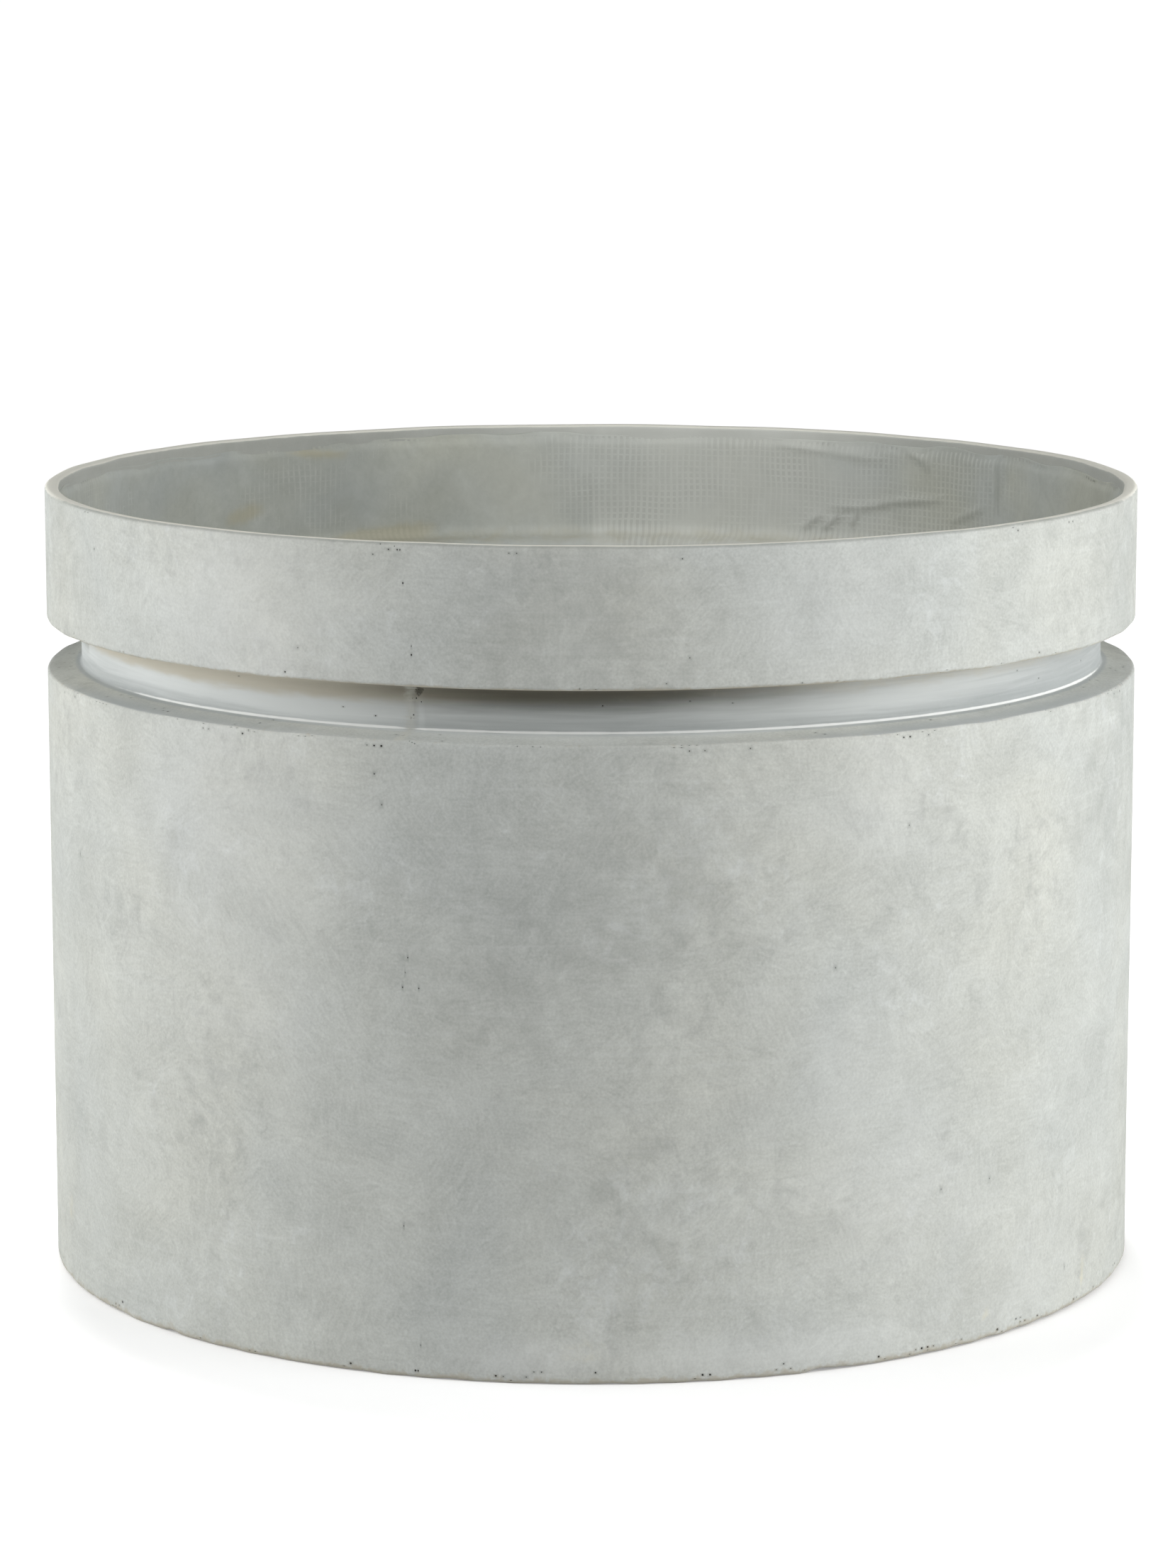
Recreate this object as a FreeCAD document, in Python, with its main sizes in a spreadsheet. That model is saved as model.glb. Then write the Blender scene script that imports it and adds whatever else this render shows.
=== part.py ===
"""Round fibre-cement flower pot: a cast shell with a grooved rim, its mesh lining and a drain plug.

Millimetres, +Z up. The origin is the centre of the circle that the pot stands on.
"""

import FreeCAD, Part
import math
import os

import Sketcher

doc = FreeCAD.newDocument("FlowerPot")
sheet = doc.addObject("Spreadsheet::Sheet", "Sizes")

# Driving dimensions, each written once.
SIZES = {
    # Outline of the casting
    "pot_diameter": 660.0,
    "pot_height": 473.0,
    "rim_band_height": 79.5,
    "groove_opening": 30.8,
    "groove_depth": 20.7,
    "groove_face_fall": 3.4,
    # Walls of the casting
    "wall_thickness": 8.3,
    "web_thickness": 6.0,
    "floor_thickness": 11.0,
    "standing_ring_width": 40.0,
    "standing_ring_height": 4.0,
    # Edges and coves of the casting
    "lip_radius": 2.5,
    "arris_radius": 2.0,
    "groove_cove_radius": 2.0,
    "foot_edge_radius": 2.5,
    "inner_cove_radius": 8.0,
    "inner_nose_radius": 8.0,
    "floor_cove_radius": 14.0,
    # Mesh lining
    "mesh_thickness": 1.2,
    "mesh_rim_margin": 10.0,
    "mesh_foot_lap": 45.0,
    "mesh_disc_margin": 10.0,
    "mesh_joggle_run": 5.0,
    # Drain hole and plug
    "drain_diameter": 30.0,
    "drain_chamfer": 1.5,
    "plug_clearance": 0.3,
    "plug_stem_length": 12.0,
    "plug_stem_taper": 1.2,
    "plug_core_diameter": 16.0,
    "plug_core_depth": 9.0,
    "plug_flange_diameter": 52.0,
    "plug_flange_thickness": 4.0,
    "plug_waist_diameter": 17.0,
    "plug_waist_height": 9.0,
    "plug_knob_diameter": 28.0,
    "plug_knob_height": 8.0,
    "plug_edge_radius": 1.5,
    "plug_knob_radius": 3.0,
}
for row, (alias, value) in enumerate(SIZES.items(), start=1):
    sheet.set(f"A{row}", alias)
    sheet.set(f"B{row}", str(value))
    sheet.setAlias(f"B{row}", alias)
doc.recompute()

# Radii and heights that more than one piece uses, as formulas of the sheet.
OUTER = "(Sizes.pot_diameter / 2)"
NECK = f"({OUTER} - Sizes.groove_depth)"
INNER = f"({OUTER} - Sizes.wall_thickness)"
NECK_INNER = f"({NECK} - Sizes.wall_thickness)"
RING_INNER = f"({OUTER} - Sizes.standing_ring_width)"
DRAIN = "(Sizes.drain_diameter / 2)"

RIM_UNDERSIDE = "(Sizes.pot_height - Sizes.rim_band_height)"
NECK_TOP = f"({RIM_UNDERSIDE} - Sizes.groove_face_fall)"
DRUM_TOP = f"({RIM_UNDERSIDE} - Sizes.groove_opening)"
NECK_BOTTOM = f"({DRUM_TOP} + Sizes.groove_face_fall)"
FLOOR = "(Sizes.standing_ring_height + Sizes.floor_thickness)"

# The inner wall's four corners round the groove, from the rim down.
LEDGE = f"({RIM_UNDERSIDE} + Sizes.web_thickness)"
NOSE_TOP = f"({NECK_TOP} + Sizes.web_thickness)"
NOSE_BOTTOM = f"({NECK_BOTTOM} - Sizes.web_thickness)"
SHOULDER = f"({DRUM_TOP} - Sizes.web_thickness)"

# The lining is an offset of that wall. Past a sloped web its corners shift by less than its thickness.
WEB_SLOPE = "(Sizes.groove_face_fall / Sizes.groove_depth)"
WEB_SHIFT = f"(Sizes.mesh_thickness * (sqrt(1 + {WEB_SLOPE} ^ 2) - {WEB_SLOPE}))"
MESH_WALL = f"({INNER} - Sizes.mesh_thickness)"
MESH_NECK = f"({NECK_INNER} - Sizes.mesh_thickness)"
MESH_TOP = "(Sizes.pot_height - Sizes.mesh_rim_margin)"
MESH_FLOOR = f"({FLOOR} + Sizes.mesh_thickness)"
MESH_LAP = f"({MESH_FLOOR} + Sizes.mesh_thickness)"
MESH_COVE = f"({INNER} - Sizes.floor_cove_radius)"
MESH_FOOT = f"({MESH_COVE} - Sizes.mesh_foot_lap)"
MESH_DISC = f"({MESH_COVE} - Sizes.mesh_disc_margin)"

ON_AXIS = "0"


def measure(formula):
    """Value of a formula of the sheet, in millimetres."""
    return float(sheet.evalExpression(formula))


def origin_plane(body, role):
    """One of a body's own origin planes."""
    return next(item for item in body.Origin.OriginFeatures if item.Role == role)


def new_sketch(body, name, role):
    """Empty sketch on one of the body's origin planes."""
    sketch = body.newObject("Sketcher::SketchObject", name)
    sketch.AttachmentSupport = (origin_plane(body, role), [""])
    sketch.MapMode = "FlatFace"
    return sketch


def fix_point(sketch, geometry, formulas):
    """Hold a point's X and Y at two formulas, on the axis itself where a formula is zero."""
    for direction, axis, formula in zip(("DistanceX", "DistanceY"), (-2, -1), formulas):
        if measure(formula) == 0:
            sketch.addConstraint(Sketcher.Constraint("PointOnObject", geometry, 1, axis))
            continue
        distance = Sketcher.Constraint(direction, -1, 1, geometry, 1, measure(formula))
        sketch.setExpression(f"Constraints[{sketch.addConstraint(distance)}]", formula)


def rounded_corner(before, spot, after, radius):
    """Arc that rounds a corner, with its ends in the order that the outline meets them.

    The order is given as the arc's point numbers: an arc in a sketch always runs anticlockwise.
    """
    back = (before - spot).normalize()
    onward = (after - spot).normalize()
    half_angle = back.getAngle(onward) / 2
    centre = spot + (back + onward).normalize() * (radius / math.sin(half_angle))
    ends = [spot + way * (radius / math.tan(half_angle)) for way in (back, onward)]
    order = (1, 2)
    if (ends[0] - centre).cross(ends[1] - centre).z < 0:
        order = (2, 1)
    first, last = [end - centre for _, end in sorted(zip(order, ends), key=lambda pair: pair[0])]
    circle = Part.Circle(centre, FreeCAD.Vector(0, 0, 1), radius)
    arc = Part.ArcOfCircle(circle, math.atan2(first.y, first.x), math.atan2(last.y, last.x))
    return arc, ends, order


def draw_outline(sketch, corners):
    """Closed outline of lines, with a tangent arc at each corner that has a rounding."""
    spots = [FreeCAD.Vector(measure(radius), measure(height)) for radius, height, _ in corners]
    around = zip(spots[-1:] + spots[:-1], spots, spots[1:] + spots[:1], corners)
    ends = [(spot, spot) for spot in spots]
    arcs = {}
    for number, (before, spot, after, (*_, rounding)) in enumerate(around):
        if rounding:
            arc, ends[number], order = rounded_corner(before, spot, after, measure(rounding))
            arcs[number] = (arc, order)
    for (_, start), (end, _) in zip(ends, ends[1:] + ends[:1]):
        sketch.addGeometry(Part.LineSegment(start, end))
    for number, (radius, height, rounding) in enumerate(corners):
        arriving = (number - 1) % len(corners)
        if not rounding:
            sketch.addConstraint(Sketcher.Constraint("Coincident", arriving, 2, number, 1))
            fix_point(sketch, number, (radius, height))
            continue
        arc, order = arcs[number]
        arc_id = sketch.addGeometry(arc)
        corner_id = sketch.addGeometry(Part.Point(spots[number]), True)
        sketch.addConstraint(Sketcher.Constraint("Tangent", arriving, 2, arc_id, order[0]))
        sketch.addConstraint(Sketcher.Constraint("Tangent", arc_id, order[1], number, 1))
        for line in (arriving, number):
            sketch.addConstraint(Sketcher.Constraint("PointOnObject", corner_id, 1, line))
        fix_point(sketch, corner_id, (radius, height))
        size = sketch.addConstraint(Sketcher.Constraint("Radius", arc_id, measure(rounding)))
        sketch.setExpression(f"Constraints[{size}]", rounding)


def turned_body(label, corners):
    """Body turned about Z from a closed outline.

    Each corner is a radius, a height and the formula of its rounding, or None for a sharp one.
    """
    body = doc.addObject("PartDesign::Body", label)
    body.Label = label
    sketch = new_sketch(body, label + "_profile", "XZ_Plane")
    draw_outline(sketch, corners)
    turned = body.newObject("PartDesign::Revolution", label + "_turned")
    turned.Profile = (sketch, [""])
    turned.ReferenceAxis = (sketch, ["V_Axis"])
    turned.Angle = 360
    doc.recompute()
    return body


def drill_drain(body):
    """Drain hole through the floor, with its lower edge chamfered."""
    uncut = body.Shape.Volume
    sketch = new_sketch(body, "drain_circle", "XY_Plane")
    sketch.addGeometry(Part.Circle(FreeCAD.Vector(), FreeCAD.Vector(0, 0, 1), measure(DRAIN)))
    sketch.addConstraint(Sketcher.Constraint("Coincident", 0, 3, -1, 1))
    size = sketch.addConstraint(Sketcher.Constraint("Radius", 0, measure(DRAIN)))
    sketch.setExpression(f"Constraints[{size}]", DRAIN)
    hole = body.newObject("PartDesign::Pocket", "drain_hole")
    hole.Profile = (sketch, [""])
    hole.Type = "ThroughAll"
    hole.Reversed = True
    doc.recompute()
    if body.Shape.Volume >= uncut:
        raise RuntimeError("the drain hole cut nothing")
    edges = [
        f"Edge{number}" for number, edge in enumerate(hole.Shape.Edges, start=1)
        if isinstance(edge.Curve, Part.Circle)
        and abs(edge.Curve.Radius - measure(DRAIN)) < Part.Precision.confusion()
        and edge.Curve.Center.z < measure(FLOOR)
    ]
    chamfer = body.newObject("PartDesign::Chamfer", "drain_edge")
    chamfer.Base = (hole, edges)
    chamfer.setExpression("Size", "Sizes.drain_chamfer")
    doc.recompute()


def pot_shell():
    """The casting: rim band, groove and neck, drum, floor and standing ring, with the drain hole."""
    arris = "Sizes.arris_radius"
    cove = "Sizes.groove_cove_radius"
    foot = "Sizes.foot_edge_radius"
    body = turned_body("pot_shell", [
        (ON_AXIS, "Sizes.standing_ring_height", None),
        (RING_INNER, "Sizes.standing_ring_height", None),
        (RING_INNER, "0", None),
        (OUTER, "0", foot),
        (OUTER, DRUM_TOP, arris),
        (NECK, NECK_BOTTOM, cove),
        (NECK, NECK_TOP, cove),
        (OUTER, RIM_UNDERSIDE, arris),
        (OUTER, "Sizes.pot_height", "Sizes.lip_radius"),
        (INNER, "Sizes.pot_height", "Sizes.lip_radius"),
        (INNER, LEDGE, "Sizes.inner_cove_radius"),
        (NECK_INNER, NOSE_TOP, "Sizes.inner_nose_radius"),
        (NECK_INNER, NOSE_BOTTOM, "Sizes.inner_nose_radius"),
        (INNER, SHOULDER, "Sizes.inner_cove_radius"),
        (INNER, FLOOR, "Sizes.floor_cove_radius"),
        (ON_AXIS, FLOOR, None),
    ])
    drill_drain(body)
    return body


def wall_mesh_lining():
    """Mesh laid up on the inner wall: an even skin that follows the groove's nose and foots on the floor."""
    outer_cove = "Sizes.inner_cove_radius"
    outer_nose = "Sizes.inner_nose_radius"
    skin_cove = "Sizes.inner_cove_radius - Sizes.mesh_thickness"
    skin_nose = "Sizes.inner_nose_radius + Sizes.mesh_thickness"
    return turned_body("wall_mesh_lining", [
        (INNER, MESH_TOP, None),
        (INNER, LEDGE, outer_cove),
        (NECK_INNER, NOSE_TOP, outer_nose),
        (NECK_INNER, NOSE_BOTTOM, outer_nose),
        (INNER, SHOULDER, outer_cove),
        (INNER, FLOOR, "Sizes.floor_cove_radius"),
        (MESH_FOOT, FLOOR, None),
        (MESH_FOOT, MESH_FLOOR, None),
        (MESH_WALL, MESH_FLOOR, "Sizes.floor_cove_radius - Sizes.mesh_thickness"),
        (MESH_WALL, f"({SHOULDER} - {WEB_SHIFT})", skin_cove),
        (MESH_NECK, f"({NOSE_BOTTOM} - {WEB_SHIFT})", skin_nose),
        (MESH_NECK, f"({NOSE_TOP} + {WEB_SHIFT})", skin_nose),
        (MESH_WALL, f"({LEDGE} + {WEB_SHIFT})", skin_cove),
        (MESH_WALL, MESH_TOP, None),
    ])


def floor_mesh_lining():
    """Mesh disc on the floor, climbing over the foot of the wall lining, with the drain hole through it."""
    return turned_body("floor_mesh_lining", [
        (DRAIN, FLOOR, None),
        (MESH_FOOT, FLOOR, None),
        (MESH_FOOT, MESH_FLOOR, None),
        (MESH_DISC, MESH_FLOOR, None),
        (MESH_DISC, MESH_LAP, None),
        (MESH_FOOT, MESH_LAP, None),
        (f"({MESH_FOOT} - Sizes.mesh_joggle_run)", MESH_FLOOR, None),
        (DRAIN, MESH_FLOOR, None),
    ])


def drain_plug():
    """Rubber bung: hollow tapered stem in the drain hole, flange on the floor and a knob to pull."""
    stem = f"({DRAIN} - Sizes.plug_clearance)"
    tip = f"({stem} - Sizes.plug_stem_taper)"
    tip_height = f"({MESH_FLOOR} - Sizes.plug_stem_length)"
    core = "(Sizes.plug_core_diameter / 2)"
    core_top = f"({tip_height} + Sizes.plug_core_depth)"
    flange = "(Sizes.plug_flange_diameter / 2)"
    flange_top = f"({MESH_FLOOR} + Sizes.plug_flange_thickness)"
    waist = "(Sizes.plug_waist_diameter / 2)"
    knob = "(Sizes.plug_knob_diameter / 2)"
    knob_bottom = f"({flange_top} + Sizes.plug_waist_height)"
    knob_top = f"({knob_bottom} + Sizes.plug_knob_height)"
    edge = "Sizes.plug_edge_radius"
    return turned_body("drain_plug", [
        (ON_AXIS, core_top, None),
        (core, core_top, edge),
        (core, tip_height, None),
        (tip, tip_height, edge),
        (stem, MESH_FLOOR, None),
        (flange, MESH_FLOOR, None),
        (flange, flange_top, edge),
        (waist, flange_top, edge),
        (waist, knob_bottom, edge),
        (knob, knob_bottom, edge),
        (knob, knob_top, "Sizes.plug_knob_radius"),
        (ON_AXIS, knob_top, None),
    ])


pieces = [pot_shell(), wall_mesh_lining(), floor_mesh_lining(), drain_plug()]
doc.recompute()

for item in doc.Objects:
    if {"Invalid", "Error"} & set(item.State):
        raise RuntimeError(f"{item.Label} is {item.State}")
os.makedirs("parts", exist_ok=True)
for piece in pieces:
    if piece.Shape.isNull() or not piece.Shape.isValid() or len(piece.Shape.Solids) != 1:
        raise RuntimeError(f"{piece.Label} is not one valid solid")
for piece in pieces:
    piece.Shape.exportStep(f"parts/{piece.Label}.step")
    print(piece.Label, "volume", round(piece.Shape.Volume), "box", piece.Shape.BoundBox)
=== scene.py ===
"""Looks of a round fibre-cement flower pot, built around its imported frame.

Metres, +Z up. The camera looks along +Y, so the front is at -Y. Azimuths are degrees from the front,
positive to the right as the camera sees it. Sizes of the pot are named in millimetres.
"""

import logging
import math
from dataclasses import dataclass, replace
from enum import Enum
from typing import Sequence

import bmesh
import bpy
import numpy as np
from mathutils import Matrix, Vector


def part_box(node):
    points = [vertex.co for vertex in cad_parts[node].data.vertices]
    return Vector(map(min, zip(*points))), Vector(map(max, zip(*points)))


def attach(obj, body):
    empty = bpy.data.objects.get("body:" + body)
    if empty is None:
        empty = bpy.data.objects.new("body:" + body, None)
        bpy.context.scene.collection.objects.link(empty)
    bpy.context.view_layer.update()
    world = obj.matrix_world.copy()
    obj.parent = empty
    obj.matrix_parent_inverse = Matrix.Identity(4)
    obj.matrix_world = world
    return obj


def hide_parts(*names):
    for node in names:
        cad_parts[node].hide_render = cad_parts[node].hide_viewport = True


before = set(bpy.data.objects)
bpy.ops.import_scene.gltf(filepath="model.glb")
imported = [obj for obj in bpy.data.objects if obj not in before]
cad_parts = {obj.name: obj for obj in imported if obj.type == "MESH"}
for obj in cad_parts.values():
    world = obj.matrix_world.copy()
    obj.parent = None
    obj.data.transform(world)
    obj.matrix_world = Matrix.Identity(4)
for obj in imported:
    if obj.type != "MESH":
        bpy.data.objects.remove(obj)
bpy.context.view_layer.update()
LOG = logging.getLogger("flower_pot")
MM = 0.001
FULL_TURN = 2 * math.pi
WELD = 0.001 * MM  # points closer than this are merged
MIXED = 2  # number of a Mix node's colour output
ARC_STEPS = 4  # straight runs in a rounded corner
DAB_FRAY = 4  # waves of noise across a brush dab, which fray its edge
TINT_SPAN = (0.3, 0.7)  # noise values where a tint is all cool and all warm
Tree = bpy.types.NodeTree
Socket = bpy.types.NodeSocket
Triple = tuple[float, float, float]
Bells = tuple[Triple, ...]  # azimuth and reach in degrees, and strength, of each bell


class Body(Enum):
    """Bodies of the frame that the pieces ride on."""

    POT = "pot"
    PLUG = "plug"


class Slot(Enum):
    """Material slots of the record."""

    CEMENT = "cement"
    LAY_UP = "mesh_lay_up"
    RUBBER = "plug_rubber"


def linear(code: str) -> tuple[float, float, float, float]:
    """Turn an sRGB hex value into a linear colour.

    Args:
        code: six hex digits, with or without a leading hash.

    Returns:
        Red, green, blue and an alpha of 1.
    """
    digits = code.lstrip("#")
    parts = [int(digits[start:start + 2], 16) / 255 for start in (0, 2, 4)]
    red, green, blue = [p / 12.92 if p <= 0.04045 else ((p + 0.055) / 1.055) ** 2.4 for p in parts]
    return red, green, blue, 1.0


def add_node(tree: Tree, kind: str, inputs: dict | None = None, **settings) -> bpy.types.Node:
    """Add a node with its settings and links.

    Args:
        tree: node tree of a material, the world or a geometry group.
        kind: the node's type name.
        inputs: socket identifier, name or number, to what goes there: a node, whose first output is linked,
            an output socket or a plain value.
        settings: properties of the node.

    Returns:
        The new node.
    """
    node = tree.nodes.new(kind)
    for name, value in settings.items():
        setattr(node, name, value)
    for key, value in (inputs or {}).items():
        by_identifier = [s for s in node.inputs if s.identifier == key]
        socket = by_identifier[0] if by_identifier else node.inputs[key]
        if isinstance(value, bpy.types.Node):
            value = value.outputs[0]
        if isinstance(value, Socket):
            tree.links.new(value, socket)
        else:
            socket.default_value = value
    return node


def add_object(name: str, data: bpy.types.ID) -> bpy.types.Object:
    """Put a mesh, lamp or camera into the scene.

    Args:
        name: name of the object.
        data: the mesh, lamp or camera.

    Returns:
        The object, at the origin.
    """
    added = bpy.data.objects.new(name, data)
    bpy.context.scene.collection.objects.link(added)
    return added


def smooth_step(low: float, high: float, value: np.ndarray) -> np.ndarray:
    """Ease from 0 at low to 1 at high.

    Args:
        low: where the ease starts.
        high: where it ends.
        value: numbers to ease.

    Returns:
        Shares from 0 to 1.
    """
    share = np.clip((value - low) / (high - low), 0.0, 1.0)
    return share * share * (3 - 2 * share)


def around(spread: float, value: np.ndarray) -> np.ndarray:
    """Bell that is 1 where value is 0 and fades over spread."""
    return np.exp(-((value / spread) ** 2))


def turn_from(at: float, azimuth: np.ndarray) -> np.ndarray:
    """Degrees from one azimuth to others, the shorter way round."""
    return (azimuth - at + 180) % 360 - 180


def bells(places: Bells, azimuth: np.ndarray) -> np.ndarray:
    """Sum of bells round the pot at azimuths in degrees."""
    return sum(strength * around(reach, turn_from(at, azimuth)) for at, reach, strength in places)


def even_azimuths(columns: int) -> np.ndarray:
    """Evenly spaced azimuths in degrees, from the back round to the back."""
    return np.arange(columns) / columns * 360 - 180


@dataclass(frozen=True)
class Wander:
    """Slow unevenness of a hand-made surface, as seeded waves round and up the pot.

    Attributes:
        seed: seed of the waves.
        orders: lowest and highest number of waves round the pot.
        height_waves: most waves over the pot's height.
        count: number of waves that are added.
    """

    seed: int
    orders: tuple[int, int]
    height_waves: float = 2.0
    count: int = 24

    def at(self, azimuth: np.ndarray, height: np.ndarray) -> np.ndarray:
        """Value of the waves.

        Args:
            azimuth: radians from the front.
            height: share of the pot's height.

        Returns:
            Numbers that mostly lie between -1 and 1.
        """
        rng = np.random.default_rng(self.seed)
        total = np.zeros(np.broadcast(azimuth, height).shape)
        for _ in range(self.count):
            order = rng.integers(self.orders[0], self.orders[1] + 1)
            climb = rng.uniform(-self.height_waves, self.height_waves) * FULL_TURN
            total = total + np.cos(order * azimuth + climb * height + rng.uniform(0, FULL_TURN))
        return total / math.sqrt(self.count)


@dataclass(frozen=True)
class Mottle:
    """One layer of uneven tone and relief in a finish.

    Attributes:
        size: width of a blotch in millimetres.
        tone: how strongly it moves the colour between dark and light.
        relief: height of its bump in millimetres.
        stretch: how much finer it is along X, Y and Z.
        detail: octaves of finer noise on it.
        rough: strength of those octaves, from 0 to 1.
        swirl: distortion of the blotches.
        dab: width in millimetres of the brush dabs that each turn it another way, or zero.
    """

    size: float
    tone: float
    relief: float = 0.0
    stretch: Triple = (1.0, 1.0, 1.0)
    detail: float = 3.0
    rough: float = 0.5
    swirl: float = 0.6
    dab: float = 0.0


@dataclass(frozen=True)
class Smudge:
    """Smudges of a second colour that gather in some areas and leave others clean.

    Attributes:
        colour: sRGB hex value.
        cover: share of the colour in the middle of a smudge.
        shape: noise that draws them; its tone and relief are not used.
        rare: noise value where a smudge starts, about 0.5 for half of the surface.
        soft: how much further it takes to reach full cover.
        area: width in millimetres of the areas where they gather.
        gather: how strongly they gather there.
    """

    colour: str
    cover: float
    shape: Mottle
    rare: float = 0.55
    soft: float = 0.2
    area: float = 130.0
    gather: float = 0.6


@dataclass(frozen=True)
class Overlay:
    """A colour laid where a mesh attribute is high, with an edge broken by noise.

    Attributes:
        attribute: name of the attribute.
        colour: sRGB hex value.
        cover: share of the colour where the attribute is 1.
        size: width of the noise in millimetres.
        stretch: how much finer the noise is along X, Y and Z.
        ragged: how far the noise moves the edge.
        soft: half width of the edge.
    """

    attribute: str
    colour: str
    cover: float = 1.0
    size: float = 8.0
    stretch: Triple = (1.0, 1.0, 1.0)
    ragged: float = 0.8
    soft: float = 0.2


@dataclass(frozen=True)
class Brush:
    """What lays noise and colours on the nodes of one material.

    Attributes:
        tree: the material's nodes.
        place: the object's own coordinates in metres.
    """

    tree: Tree
    place: Socket

    def dabbed(self, width: float) -> Socket:
        """Coordinates turned about the surface's normal, another way in each ragged brush dab.

        Args:
            width: of a dab in millimetres.

        Returns:
            The turned coordinates.
        """
        stray = add_node(self.tree, "ShaderNodeTexNoise", {
            "Vector": self.place, "Scale": DAB_FRAY / (width * MM), "Detail": 2.0}).outputs["Color"]
        ragged = add_node(self.tree, "ShaderNodeVectorMath", {
            0: stray, 1: (width * MM,) * 3, 2: self.place}, operation="MULTIPLY_ADD")
        dab = add_node(self.tree, "ShaderNodeTexVoronoi", {
            "Vector": ragged, "Scale": 1 / (width * MM)}).outputs
        turn = add_node(self.tree, "ShaderNodeMath", {0: dab["Color"], 1: FULL_TURN}, operation="MULTIPLY")
        normal = add_node(self.tree, "ShaderNodeNewGeometry").outputs["Normal"]
        return add_node(self.tree, "ShaderNodeVectorRotate", {
            "Vector": self.place, "Center": dab["Position"], "Axis": normal, "Angle": turn}).outputs[0]

    def noise(self, mottle: Mottle) -> Socket:
        """Noise in the manner of a mottle.

        Args:
            mottle: its size, stretch, detail, swirl and dabs.

        Returns:
            Values about 0.5.
        """
        place = self.dabbed(mottle.dab) if mottle.dab else self.place
        spot = add_node(self.tree, "ShaderNodeMapping", {"Vector": place, "Scale": mottle.stretch})
        return add_node(self.tree, "ShaderNodeTexNoise", {
            "Vector": spot, "Scale": 1 / (mottle.size * MM), "Detail": mottle.detail,
            "Roughness": mottle.rough, "Distortion": mottle.swirl}).outputs[0]

    def cover(self, colour: Socket, grain: Socket, strength: float, base: Socket, start: float, stop: float,
              coat: Smudge | Overlay) -> Socket:
        """Lay a coat on a colour where noise on top of other values is high.

        Args:
            colour: what lies beneath.
            grain: the noise.
            strength: of the noise.
            base: the values that it is added to.
            start: sum where the coat starts.
            stop: sum where the coat is full.
            coat: what is laid on the colour.

        Returns:
            The colour with the coat.
        """
        edge = add_node(self.tree, "ShaderNodeMath", {
            0: grain, 1: strength, 2: base}, operation="MULTIPLY_ADD")
        share = add_node(self.tree, "ShaderNodeMapRange", {
            "Value": edge, "From Min": start, "From Max": stop, "To Max": coat.cover},
            interpolation_type="SMOOTHSTEP")
        return add_node(self.tree, "ShaderNodeMix", {
            "Factor_Float": share, "A_Color": colour, "B_Color": linear(coat.colour)},
            data_type="RGBA").outputs[MIXED]

    def smear(self, colour: Socket, smudge: Smudge) -> Socket:
        """Lay one kind of smudge on a colour.

        Args:
            colour: what lies beneath.
            smudge: what is laid on it.

        Returns:
            The colour with the smudges.
        """
        shape = self.noise(smudge.shape)
        area = self.noise(Mottle(size=smudge.area, tone=1.0, detail=1.0))
        start = smudge.rare + smudge.gather / 2
        return self.cover(colour, area, smudge.gather, shape, start, start + smudge.soft, smudge)

    def lay(self, colour: Socket, overlay: Overlay) -> Socket:
        """Lay one overlay on a colour.

        Args:
            colour: what lies beneath.
            overlay: what is laid on it.

        Returns:
            The colour with the overlay.
        """
        mask = add_node(self.tree, "ShaderNodeAttribute", attribute_name=overlay.attribute).outputs["Fac"]
        grain = self.noise(Mottle(size=overlay.size, tone=1.0, stretch=overlay.stretch))
        middle = 0.5 + overlay.ragged / 2
        start, stop = middle - overlay.soft, middle + overlay.soft
        return self.cover(colour, grain, overlay.ragged, mask, start, stop, overlay)


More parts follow.
